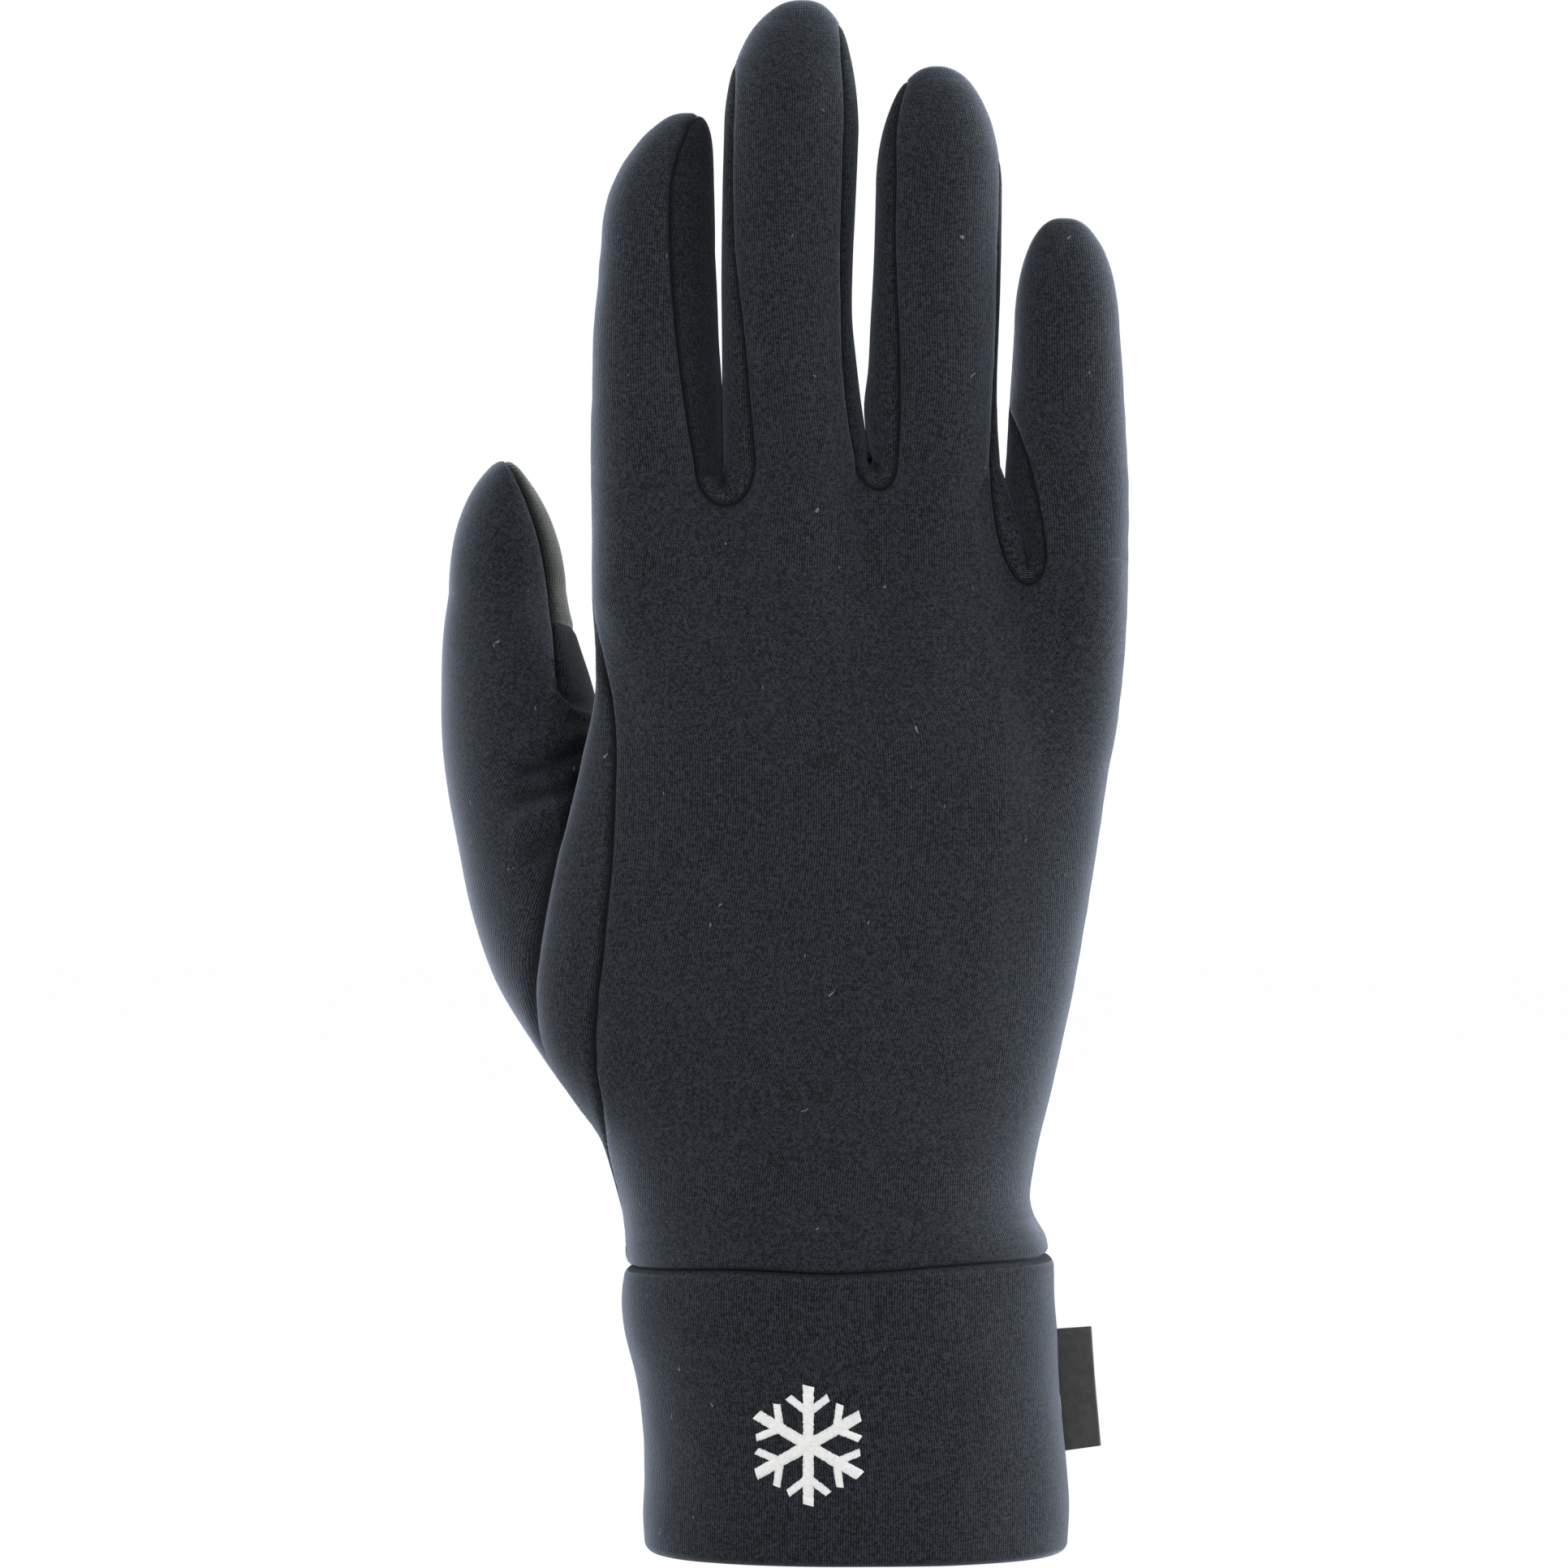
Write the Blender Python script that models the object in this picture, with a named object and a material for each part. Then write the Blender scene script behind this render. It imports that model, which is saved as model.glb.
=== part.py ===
"""Right-hand stretch-fleece liner glove with touch-sensitive fingertips.

The glove stands with its fingers up (+Z), the back of the hand towards -Y and the thumb towards -X.
The origin is the centre of the wrist opening, on the plane of the cuff's folded rim. Lengths are metres.
"""

import math
from dataclasses import dataclass

import bpy
import numpy as np

MM = 0.001
DEG = math.pi / 180

# Fabric and seams
FABRIC = 1.5 * MM          # thickness of the brushed stretch fleece
SEAM_GAP = 0.4 * MM        # room left along every sewn edge
BEND_GAP = 0.6 * MM        # room left where a panel bends at a finger joint
GUSSET_TRIM = 1.2 * MM     # how far a crotch gusset stops short of its two seams
GUSSET_END = 0.8 * MM      # how far it stops short of the bends at its two ends
FINGER_ROUND = 2.25        # superellipse exponent of a finger's section
HAND_ROUND = 2.5           # superellipse exponent of the hand's section
CUFF_ROUND = 2.3           # superellipse exponent of the cuff's section

# Cuff
CUFF_HEIGHT = 45.9 * MM
CUFF_LAYER = 1.3 * MM      # thickness of one layer of the folded band
CUFF_SLOT = 0.5 * MM       # space between the two layers
CUFF_HEM = 4.0 * MM        # height of the closed fold at the rim
CUFF_TURN_IN = 2.0 * MM    # how far the inner layer stops below the outer one
CUFF_TOP_LEFT, CUFF_TOP_RIGHT = -38.3 * MM, 32.5 * MM
CUFF_WAIST_LEFT, CUFF_WAIST_RIGHT = -35.6 * MM, 33.8 * MM
CUFF_RIM_LEFT, CUFF_RIM_RIGHT = -34.9 * MM, 35.0 * MM
CUFF_HALF_DEPTH = 22.5 * MM

# Folded woven loop in the ulnar side seam of the cuff
LABEL_TOP, LABEL_BOTTOM = 35.7 * MM, 15.7 * MM
LABEL_REACH = 5.3 * MM
LABEL_LAYER = 0.35 * MM
LABEL_FOLD_GAP = 0.3 * MM
LABEL_STANDOFF = 0.6 * MM  # from the cuff's edge to the tape, room for it to swing

# Hand, in mm: height above the wrist seam, the outline's left and right edges, depth of back and palm
HAND_UP = (0.6, 11.0, 22.0, 35.0, 46.0, 59.0, 74.0, 91.0, 109.0)
HAND_LEFT = (-37.6, -38.7, -42.4, -51.0, -52.7, -51.2, -47.4, -43.3, -43.1)
HAND_RIGHT = (31.0, 28.4, 29.9, 32.9, 35.1, 37.7, 40.1, 42.3, 44.0)
BACK_DEPTH = (21.6, 20.6, 20.0, 19.0, 18.0, 16.8, 15.6, 14.0, 12.0)
PALM_DEPTH = (21.6, 20.6, 20.4, 20.6, 20.8, 20.2, 18.4, 15.6, 12.4)
# Seam between the back panel and the palm panel that wraps round beside the thumb
SIDE_SEAM_UP = (0.6, 11.0, 28.0, 42.6, 66.0, 86.0, 101.0, 110.0)
SIDE_SEAM_X = (-37.4, -38.5, -41.7, -42.7, -40.2, -39.6, -41.0, -43.0)
KNUCKLE_BLEND = 0.42       # share of the hand's height over which the stalls melt into the palm
CROTCH_RISE = 3.5 * MM     # how much higher a crotch is at mid depth than at its seams
HAND_CLEARANCE = 0.6 * MM  # how far the thumb's sewn edge stays off the hand's surface

# Thumb, in mm: centre line and radius from the heel of the hand to where the tip begins to close
THUMB_UP = (21.0, 37.0, 52.0, 72.0, 93.3, 105.5, 111.6)
THUMB_X = (-33.0, -41.2, -46.9, -52.7, -56.9, -58.2, -58.4)
THUMB_Y = (5.0, 7.5, 10.0, 13.0, 16.5, 19.0, 20.0)
THUMB_R = (9.0, 11.8, 14.1, 13.9, 12.5, 10.8, 9.9)
THUMB_DOME = 22.2 * MM     # length of the closed tip
THUMB_TIP_ROUND = 1.2      # exponent of the tip's outline: it is rather pointed
THUMB_STRAIGHTEN = 0.6     # how far the tip turns from the thumb's lean to upright
THUMB_TIP_SHIFT = 1.2 * MM # how far its top lies away from the hand
THUMB_BEND_Z = CUFF_HEIGHT + 97.0 * MM
THUMB_FLEX = (0.95, 0.31, 0.0)   # the way the thumb closes, across the palm
THUMB_SEAM = 58 * DEG      # half the width of the inner panel, about the closing direction

# Fingers: height of the base bend, length of the stall and of the part below the middle bend
INDEX_BASE, INDEX_LENGTH, INDEX_LOWER = CUFF_HEIGHT + 129.6 * MM, 60.1 * MM, 27.4 * MM
MIDDLE_BASE, MIDDLE_LENGTH, MIDDLE_LOWER = CUFF_HEIGHT + 131.6 * MM, 76.7 * MM, 31.4 * MM
RING_BASE, RING_LENGTH, RING_LOWER = CUFF_HEIGHT + 131.6 * MM, 65.7 * MM, 27.4 * MM
LITTLE_BASE, LITTLE_LENGTH, LITTLE_LOWER = CUFF_HEIGHT + 116.3 * MM, 56.0 * MM, 23.7 * MM

# Mesh steps
WALL_STEPS = 2
BACK_STEPS = 5
PALM_STEPS = 5
EDGE_STEPS = 8             # across a finger whose outer side has no wall
CROTCH_STEPS = 6
LOWER_STEPS = 3
TIP_STEPS = 3
DOME_SHARES = (0.2, 0.4, 0.5, 0.66, 0.83, 1.0)
WALL_END = 0.62            # share of the dome where the side walls run out
TIP_SEAM = 0.1             # width of the closing seam at a tip, as a share of the stall's width
TIP_ROUND = 0.88           # exponent of a fingertip's outline
TIP_DRIFT = 2.3            # exponent of the way a tip's centre drifts to its top
HAND_SHARES = (0.0, 0.05, 0.12, 0.21, 0.32, 0.45, 0.58, 0.7, 0.8, 0.9, 1.0)
CUFF_STEPS = 36
THUMB_RING = 16
THUMB_ROWS = 9
THUMB_STEPS = 8
THUMB_LOWER_ROWS = 2       # from the bend to where the touch pad begins
THUMB_PAD_ROWS = 2         # from there to where the tip begins to close
LABEL_STEPS = 6            # round the fold of the label
WELD = 0.002 * MM          # points closer than this are one
TANGENT_STEP = 0.5 * MM    # step along the thumb's centre line for its direction
LARGEST_TRIM = 0.45        # share of a mesh step that an edge may be drawn in
CREASE = 40 * DEG          # edges sharper than this are drawn sharp
PIVOT_SIZE = 5.0 * MM


@dataclass
class Finger:
    """One finger stall. Widths are half widths. Angles run from -90 at the back to 90 at the palm."""

    name: str
    base: float            # height of the bend at the hand
    lower: float           # length from there to the bend at half length
    length: float          # length from the base to the tip
    dome: float            # length of the closed tip
    x_base: float
    x_shoulder: float
    x_tip: float
    half_base: float
    half_middle: float
    half_shoulder: float
    depth_base: float
    depth_shoulder: float
    left_back: tuple       # angle of the left back seam at the base and at the shoulder
    right_back: tuple
    left_palm: float
    right_palm: float
    lean: float            # how far the tip leans towards the palm

    @property
    def middle(self):
        return self.base + self.lower

    @property
    def tip(self):
        return self.base + self.length

    @property
    def shoulder(self):
        return self.tip - self.dome


INDEX = Finger(
    "index", INDEX_BASE, INDEX_LOWER, INDEX_LENGTH, 22.7 * MM,
    -32.9 * MM, -32.6 * MM, -28.2 * MM, 10.6 * MM, 10.0 * MM, 9.4 * MM,
    9.3 * MM, 8.2 * MM, (-180, -180), (-54, -72), 180, 52, 4.0 * MM,
)
MIDDLE = Finger(
    "middle", MIDDLE_BASE, MIDDLE_LOWER, MIDDLE_LENGTH, 21.3 * MM,
    -10.7 * MM, -10.9 * MM, -9.2 * MM, 11.2 * MM, 10.7 * MM, 10.9 * MM,
    9.6 * MM, 8.8 * MM, (-124, -143), (-34, -33), 132, 48, 4.0 * MM,
)
RING = Finger(
    "ring", RING_BASE, RING_LOWER, RING_LENGTH, 20.3 * MM,
    12.2 * MM, 13.5 * MM, 13.8 * MM, 10.6 * MM, 10.4 * MM, 10.3 * MM,
    9.3 * MM, 8.3 * MM, (-122, -135), (-30, -20), 132, 48, 4.0 * MM,
)
LITTLE = Finger(
    "little", LITTLE_BASE, LITTLE_LOWER, LITTLE_LENGTH, 18.3 * MM,
    34.8 * MM, 34.6 * MM, 34.4 * MM, 9.9 * MM, 9.4 * MM, 8.5 * MM,
    8.6 * MM, 7.4 * MM, (-124, -165), (0, 0), 130, 0, 3.0 * MM,
)
FINGERS = (INDEX, MIDDLE, RING, LITTLE)
# Lowest point of each crotch seam, between a finger and the next one
CROTCHES = (
    ("index_middle", CUFF_HEIGHT + 124.9 * MM),
    ("middle_ring", CUFF_HEIGHT + 127.6 * MM),
    ("ring_little", CUFF_HEIGHT + 112.1 * MM),
)

FLEECE = ((0.016, 0.019, 0.023, 1.0), 0.95)
CONDUCTIVE = ((0.03, 0.033, 0.038, 1.0), 0.7)
WOVEN_TAPE = ((0.07, 0.075, 0.07, 1.0), 0.8)


def smooth_step(x):
    x = np.clip(x, 0.0, 1.0)
    return x * x * (3 - 2 * x)


def along(stations, values, z):
    """A smooth curve through the values at the stations, read at z."""
    stations = np.asarray(stations, float)
    values = np.asarray(values, float)
    slopes = np.gradient(values, stations)
    z = np.clip(z, stations[0], stations[-1])
    k = np.clip(np.searchsorted(stations, z) - 1, 0, len(stations) - 2)
    span = stations[k + 1] - stations[k]
    u = (z - stations[k]) / span
    rise = values[k + 1] - values[k]
    start = values[k] + u * (span * slopes[k])
    bend = u * u * (3 * rise - span * (2 * slopes[k] + slopes[k + 1]))
    close = u * u * u * (span * (slopes[k] + slopes[k + 1]) - 2 * rise)
    return start + bend + close


def up_hand(heights, values, z):
    """A smooth curve through values in mm at heights in mm above the wrist seam."""
    return along(CUFF_HEIGHT + np.array(heights) * MM, np.array(values) * MM, z)


def oval(half_width, half_depth, angle, round_off):
    """A point of a superellipse: angle 0 is +X and 90 degrees is +Y."""
    c, s = np.cos(angle), np.sin(angle)
    x = half_width * np.sign(c) * np.abs(c) ** (2 / round_off)
    y = half_depth * np.sign(s) * np.abs(s) ** (2 / round_off)
    return x, y


# Finger stalls


def dome_width(turn):
    """Share of the stall's width left at this turn of a closed tip, which ends in a short seam."""
    return TIP_SEAM + (1 - TIP_SEAM) * max(0.0, math.cos(turn)) ** TIP_ROUND


def finger_rows(f):
    """Sections from the base bend to the tip: height, centre x and y, half width and depth, dome share."""
    rows = []
    heights = list(np.linspace(f.base, f.middle, LOWER_STEPS + 1))
    heights += list(np.linspace(f.middle, f.shoulder, TIP_STEPS + 1))[1:]
    for z in heights:
        share = (z - f.base) / (f.shoulder - f.base)
        half = along(
            (f.base, f.middle, f.shoulder), (f.half_base, f.half_middle, f.half_shoulder), z
        )
        depth = f.depth_base + (f.depth_shoulder - f.depth_base) * share
        x = f.x_base + (f.x_shoulder - f.x_base) * share
        rows.append((z, x, f.lean * ((z - f.base) / (f.tip - f.base)) ** 2, half, depth, 0.0))
    for share in DOME_SHARES:
        turn = share * math.pi / 2
        rise = math.sin(turn)
        z = f.shoulder + (f.tip - f.shoulder) * rise
        x = f.x_shoulder + (f.x_tip - f.x_shoulder) * rise ** TIP_DRIFT
        y = f.lean * ((z - f.base) / (f.tip - f.base)) ** 2
        half = f.half_shoulder * dome_width(turn)
        depth = f.depth_shoulder * math.cos(turn)
        rows.append((z, x, y, half, depth, share))
    return rows


def seam_angles(f, row):
    """Where the four seams lie on a section: left back, right back, right palm, left palm."""
    z, dome = row[0], row[5]
    share = np.clip((z - f.base) / (f.shoulder - f.base), 0, 1)
    keep = max(0.0, 1 - dome / WALL_END)
    left_back = f.left_back[0] + (f.left_back[1] - f.left_back[0]) * share
    right_back = f.right_back[0] + (f.right_back[1] - f.right_back[0]) * share
    return (
        -180 + (left_back + 180) * keep,
        right_back * keep,
        f.right_palm * keep,
        180 + (f.left_palm - 180) * keep,
    )


def finger_arc(f, row, start, stop, steps):
    z, x, y, half, depth = row[:5]
    angle = np.linspace(start, stop, steps + 1) * DEG
    dx, dy = oval(half, depth, angle, FINGER_ROUND)
    return np.stack([x + dx, y + dy, np.full_like(dx, z)], axis=-1)


def finger_panels(f, rows):
    """The stall's panels over these sections, each as a grid of outer points."""
    back, palm, right, left = [], [], [], []
    edge = f.left_back[0] == -180 or f.right_back[0] == 0
    for row in rows:
        left_back, right_back, right_palm, left_palm = seam_angles(f, row)
        back.append(finger_arc(f, row, left_back, right_back, EDGE_STEPS if edge else BACK_STEPS))
        palm.append(finger_arc(f, row, right_palm, left_palm, EDGE_STEPS if edge else PALM_STEPS))
        if row[5] < WALL_END:
            right.append(finger_arc(f, row, right_back, right_palm, WALL_STEPS))
            left.append(finger_arc(f, row, left_palm, left_back + 360, WALL_STEPS))
    panels = {"back": np.array(back), "palm": np.array(palm)}
    if f.right_back[0] != 0:
        panels["ulnar_wall"] = np.array(right)
    if f.left_back[0] != -180:
        panels["radial_wall"] = np.array(left)
    return panels


# Crotch gussets between neighbouring stalls


def crotch_curve(left_point, right_point, bottom):
    """A U from the right stall's wall down to the crotch and up the left stall's wall."""
    turn = np.linspace(math.pi, 0, CROTCH_STEPS + 1)
    share = ((1 - np.cos(turn)) / 2)[:, None]
    points = left_point + (right_point - left_point) * share
    top = np.where(turn > math.pi / 2, right_point[2], left_point[2])
    points[:, 2] = bottom + (top - bottom) * np.cos(turn) ** 2
    return points


def crotch_grid(left, right, bottom):
    left_row, right_row = finger_rows(left)[0], finger_rows(right)[0]
    a = seam_angles(left, left_row)
    b = seam_angles(right, right_row)
    left_wall = finger_arc(left, left_row, a[1], a[2], WALL_STEPS)
    right_wall = finger_arc(right, right_row, b[0] + 360, b[3], WALL_STEPS)
    columns = []
    for k, (p, q) in enumerate(zip(left_wall, right_wall)):
        v = k / WALL_STEPS
        columns.append(crotch_curve(p, q, bottom + CROTCH_RISE * 4 * v * (1 - v)))
    return np.stack(columns, axis=1)


# Hand


def hand_section(z):
    """Centre, half width and the two half depths of the hand's section at this height."""
    left, right = up_hand(HAND_UP, HAND_LEFT, z), up_hand(HAND_UP, HAND_RIGHT, z)
    back, palm = up_hand(HAND_UP, BACK_DEPTH, z), up_hand(HAND_UP, PALM_DEPTH, z)
    return (left + right) / 2, (right - left) / 2, back, palm


def side_seam_angle(z):
    """Where the radial seam of the back panel crosses the section at this height."""
    centre, half = hand_section(z)[:2]
    x = up_hand(SIDE_SEAM_UP, SIDE_SEAM_X, z)
    share = np.clip((x - centre) / half, -1, 1)
    return -np.arccos(-np.abs(share) ** (HAND_ROUND / 2))


def hand_top():
    """The upper edge of the back panel from thumb side to little finger, and of the palm panel back."""
    rows = {f.name: finger_rows(f)[0] for f in FINGERS}
    panels = {f.name: finger_panels(f, [rows[f.name]]) for f in FINGERS}
    gussets = [crotch_grid(FINGERS[k], FINGERS[k + 1], CROTCHES[k][1]) for k in range(3)]
    back, palm = [], []
    for k, f in enumerate(FINGERS):
        back.append(panels[f.name]["back"][0])
        if k < 3:
            back.append(gussets[k][::-1, 0][1:-1])
    for k, f in reversed(list(enumerate(FINGERS))):
        palm.append(panels[f.name]["palm"][0])
        if k > 0:
            palm.append(gussets[k - 1][:, -1][1:-1])
    return np.concatenate(back), np.concatenate(palm)


def hand_column(top, palm_side):
    """Points from the wrist up to one point of the upper edge."""
    left = INDEX.x_base - INDEX.half_base
    right = LITTLE.x_base + LITTLE.half_base
    share = np.clip((2 * top[0] - left - right) / (right - left), -1, 1)
    angle = np.arccos(np.sign(share) * np.abs(share) ** (HAND_ROUND / 2))
    bottom = CUFF_HEIGHT + 2 * SEAM_GAP
    points = []
    for down in reversed(HAND_SHARES):
        z = top[2] + (bottom - top[2]) * down
        cx, a, back, palm = hand_section(z)
        seam = side_seam_angle(z)
        if palm_side:
            turn = angle * (2 * math.pi + seam) / math.pi
        else:
            turn = angle * seam / math.pi
        depth = np.where(np.sin(turn) > 0, palm, back)
        dx, dy = oval(a, depth, turn, HAND_ROUND)
        melt = smooth_step(down / KNUCKLE_BLEND)
        points.append((top[0] + (cx + dx - top[0]) * melt, top[1] + (dy - top[1]) * melt, z))
    return np.array(points)


def hand_grids():
    back_top, palm_top = hand_top()
    back = np.stack([hand_column(p, False) for p in back_top], axis=1)
    palm = np.stack([hand_column(p, True) for p in palm_top], axis=1)
    return back, palm


# Thumb


def thumb_top():
    """Height where the thumb's tip begins to close."""
    return CUFF_HEIGHT + THUMB_UP[-1] * MM


def thumb_frame(z):
    """Centre, radius and the closing and sideways directions of the thumb's section at this station."""
    def centre(h):
        return np.array([up_hand(THUMB_UP, THUMB_X, h), up_hand(THUMB_UP, THUMB_Y, h), h])

    low = max(z - TANGENT_STEP, CUFF_HEIGHT + THUMB_UP[0] * MM)
    tangent = centre(min(z + TANGENT_STEP, thumb_top())) - centre(low)
    tangent /= np.linalg.norm(tangent)
    close = np.array(THUMB_FLEX) - tangent * np.dot(THUMB_FLEX, tangent)
    close /= np.linalg.norm(close)
    return centre(z), up_hand(THUMB_UP, THUMB_R, z), close, np.cross(tangent, close), tangent


def thumb_ring(z, angles, inset=0.0):
    centre, radius, close, side, _ = thumb_frame(z)
    radius -= inset
    return np.array([centre + radius * (np.cos(t) * close + np.sin(t) * side) for t in angles])


def thumb_dome(share, angles):
    """A section of the closed tip, at this share of a quarter turn."""
    centre, radius, close, side, tangent = thumb_frame(thumb_top())
    turn = share * math.pi / 2
    rise = tangent + (np.array([0.0, 0.0, 1.0]) - tangent) * THUMB_STRAIGHTEN
    centre = centre + rise * THUMB_DOME * math.sin(turn) - close * THUMB_TIP_SHIFT * math.sin(turn) ** 2
    deep = radius * max(0.0, math.cos(turn)) ** THUMB_TIP_ROUND
    wide = radius * dome_width(turn)
    return np.array([centre + deep * np.cos(t) * close + wide * np.sin(t) * side for t in angles])


def thumb_grid(heights, domes, middle):
    """A moving panel of the thumb, about this direction, as wide as its seams leave it."""
    rows = []
    for z in heights:
        rows.append(thumb_ring(z, thumb_angles(middle, 0.0)))
    for share in domes:
        rows.append(thumb_dome(share, thumb_angles(middle, share)))
    return np.array(rows)


def thumb_angles(middle, share):
    """Angles across a panel: the seams reach the sides where the tip closes."""
    reach = THUMB_SEAM + (math.pi / 2 - THUMB_SEAM) * share
    if middle:
        reach = math.pi - reach
    return np.linspace(middle - reach, middle + reach, THUMB_STEPS + 1)


# From surfaces to panels


def point_key(p):
    return tuple(np.round(np.asarray(p) / WELD).astype(int))


def skin_normals(grids):
    """Outward directions at every point of a skin made of grids that share their edges."""
    sums = {}
    for grid in grids:
        rows, columns = grid.shape[:2]
        for i in range(rows - 1):
            for j in range(columns - 1):
                a, b = grid[i, j], grid[i, j + 1]
                c, d = grid[i + 1, j + 1], grid[i + 1, j]
                n = np.cross(c - a, d - b)
                for p in (a, b, c, d):
                    key = point_key(p)
                    sums[key] = sums.get(key, 0) + n
    return {key: n / np.linalg.norm(n) for key, n in sums.items() if np.linalg.norm(n) > 0}


def offset_grid(grid, normals, depth):
    out = np.array(grid)
    for index in np.ndindex(grid.shape[:2]):
        out[index] = grid[index] - depth * normals[point_key(grid[index])]
    return out


def trim_edge(edge, inner, amount):
    """The edge drawn in square to its own run, at most nearly half way to the next points."""
    run = np.gradient(edge, axis=0)
    run /= np.maximum(np.linalg.norm(run, axis=-1, keepdims=True), 1e-12)
    step = inner - edge
    step = step - run * np.sum(step * run, axis=-1, keepdims=True)
    length = np.maximum(np.linalg.norm(step, axis=-1, keepdims=True), 1e-12)
    return edge + step * np.minimum(amount / length, LARGEST_TRIM)


def trimmed(grid, first_row, last_row, first_column, last_column):
    """The grid with each of its edges drawn in by the given amount."""
    out = np.array(grid)
    out[0] = trim_edge(grid[0], grid[1], first_row)
    out[-1] = trim_edge(grid[-1], grid[-2], last_row)
    middle = np.array(out)
    out[:, 0] = trim_edge(middle[:, 0], middle[:, 1], first_column)
    out[:, -1] = trim_edge(middle[:, -1], middle[:, -2], last_column)
    return out


def material(name, finish):
    found = bpy.data.materials.get(name)
    if found:
        return found
    made = bpy.data.materials.new(name)
    made.use_nodes = True
    shader = made.node_tree.nodes["Principled BSDF"]
    shader.inputs["Base Color"].default_value = finish[0]
    shader.inputs["Roughness"].default_value = finish[1]
    shader.inputs["Metallic"].default_value = 0.0
    return made


def add_object(name, points, faces, body, finish=FLEECE):
    """A named sub-part whose origin is its body's joint."""
    mesh = bpy.data.meshes.new(name)
    pivot = body["pivot"]
    mesh.from_pydata([tuple(np.asarray(p) - pivot) for p in points], [], faces)
    mesh.shade_smooth()
    mesh.set_sharp_from_angle(angle=CREASE)
    mesh.materials.append(material(name + "_cloth", finish))
    made = bpy.data.objects.new(name, mesh)
    made.parent = body["empty"]
    body["collection"].objects.link(made)
    return made


def panel_faces(rows, columns):
    """Faces of a closed panel: outer grid, inner grid and the rim between them."""
    def outer(i, j):
        return i * columns + j

    def inner(i, j):
        return rows * columns + outer(i, j)

    faces = []
    for i in range(rows - 1):
        for j in range(columns - 1):
            quad = ((i, j), (i, j + 1), (i + 1, j + 1), (i + 1, j))
            faces.append([outer(*c) for c in quad])
            faces.append([inner(*c) for c in reversed(quad)])
    rim = [(0, j) for j in range(columns - 1)] + [(i, columns - 1) for i in range(rows - 1)]
    rim += [(rows - 1, j) for j in range(columns - 1, 0, -1)] + [(i, 0) for i in range(rows - 1, 0, -1)]
    for k, here in enumerate(rim):
        there = rim[(k + 1) % len(rim)]
        faces.append([outer(*there), outer(*here), inner(*here), inner(*there)])
    return faces


def add_panel(name, grid, normals, trims, body, finish=FLEECE):
    """A sewn panel of the fabric's thickness under its outer surface."""
    outer = trimmed(grid, *trims)
    inner = trimmed(offset_grid(grid, normals, FABRIC), *trims)
    points = list(outer.reshape(-1, 3)) + list(inner.reshape(-1, 3))
    return add_object(name, points, panel_faces(*grid.shape[:2]), body, finish)


def ring_faces(rows, columns):
    """Faces of a closed tube wall whose section is a loop of rows and whose length goes round."""
    faces = []
    for i in range(rows):
        for j in range(columns):
            i2, j2 = (i + 1) % rows, (j + 1) % columns
            faces.append([i * columns + j, i * columns + j2, i2 * columns + j2, i2 * columns + j])
    return faces


def capped_faces(rows, columns):
    """Faces of a tube of closed rings with a cap at each end."""
    faces = []
    for i in range(rows - 1):
        for j in range(columns):
            j2 = (j + 1) % columns
            faces.append([i * columns + j, i * columns + j2, (i + 1) * columns + j2, (i + 1) * columns + j])
    faces.append([j for j in reversed(range(columns))])
    faces.append([(rows - 1) * columns + j for j in range(columns)])
    return faces


def add_cutter(name, points, faces, collection):
    mesh = bpy.data.meshes.new(name)
    mesh.from_pydata([tuple(p) for p in points], [], faces)
    made = bpy.data.objects.new(name, mesh)
    made.hide_render = True
    made.display_type = "WIRE"
    collection.objects.link(made)
    return made


def cut(target, cutter):
    made = target.modifiers.new("cut_" + cutter.name, "BOOLEAN")
    made.operation = "DIFFERENCE"
    made.solver = "EXACT"
    made.object = cutter
    return made


# Bodies


def make_body(name, pivot, parent, collection):
    empty = bpy.data.objects.new(name + "_pivot", None)
    empty.empty_display_size = PIVOT_SIZE
    pivot = np.asarray(pivot, float)
    empty.location = pivot - (parent["pivot"] if parent else 0)
    if parent:
        empty.parent = parent["empty"]
    collection.objects.link(empty)
    return {"empty": empty, "pivot": pivot, "collection": collection}


def build_cuff(cuff):
    """The folded double band: two layers joined by the hem at the rim."""
    def ring(z, inset):
        stations = (0.0, CUFF_HEIGHT / 2, CUFF_HEIGHT)
        left = along(stations, (CUFF_RIM_LEFT, CUFF_WAIST_LEFT, CUFF_TOP_LEFT), z)
        right = along(stations, (CUFF_RIM_RIGHT, CUFF_WAIST_RIGHT, CUFF_TOP_RIGHT), z)
        angle = np.linspace(0, 2 * math.pi, CUFF_STEPS, endpoint=False)
        dx, dy = oval((right - left) / 2 - inset, CUFF_HALF_DEPTH - inset, angle, CUFF_ROUND)
        return np.stack([(left + right) / 2 + dx, dy, np.full_like(dx, z)], axis=-1)

    wall = 2 * CUFF_LAYER + CUFF_SLOT
    hem_round = wall / 4
    inner_top = CUFF_HEIGHT - CUFF_TURN_IN
    section = [
        (0.0, hem_round), (hem_round, 0.0), (CUFF_HEIGHT / 3, 0.0), (2 * CUFF_HEIGHT / 3, 0.0),
        (CUFF_HEIGHT - hem_round, 0.0), (CUFF_HEIGHT, hem_round), (CUFF_HEIGHT, CUFF_LAYER),
        (CUFF_HEM, CUFF_LAYER), (CUFF_HEM, CUFF_LAYER + CUFF_SLOT),
        (inner_top, CUFF_LAYER + CUFF_SLOT), (inner_top, wall),
        (hem_round, wall), (0.0, wall - hem_round),
    ]
    points = np.concatenate([ring(z, inset) for z, inset in section])
    return add_object("cuff_band", points, ring_faces(len(section), CUFF_STEPS), cuff)


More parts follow.
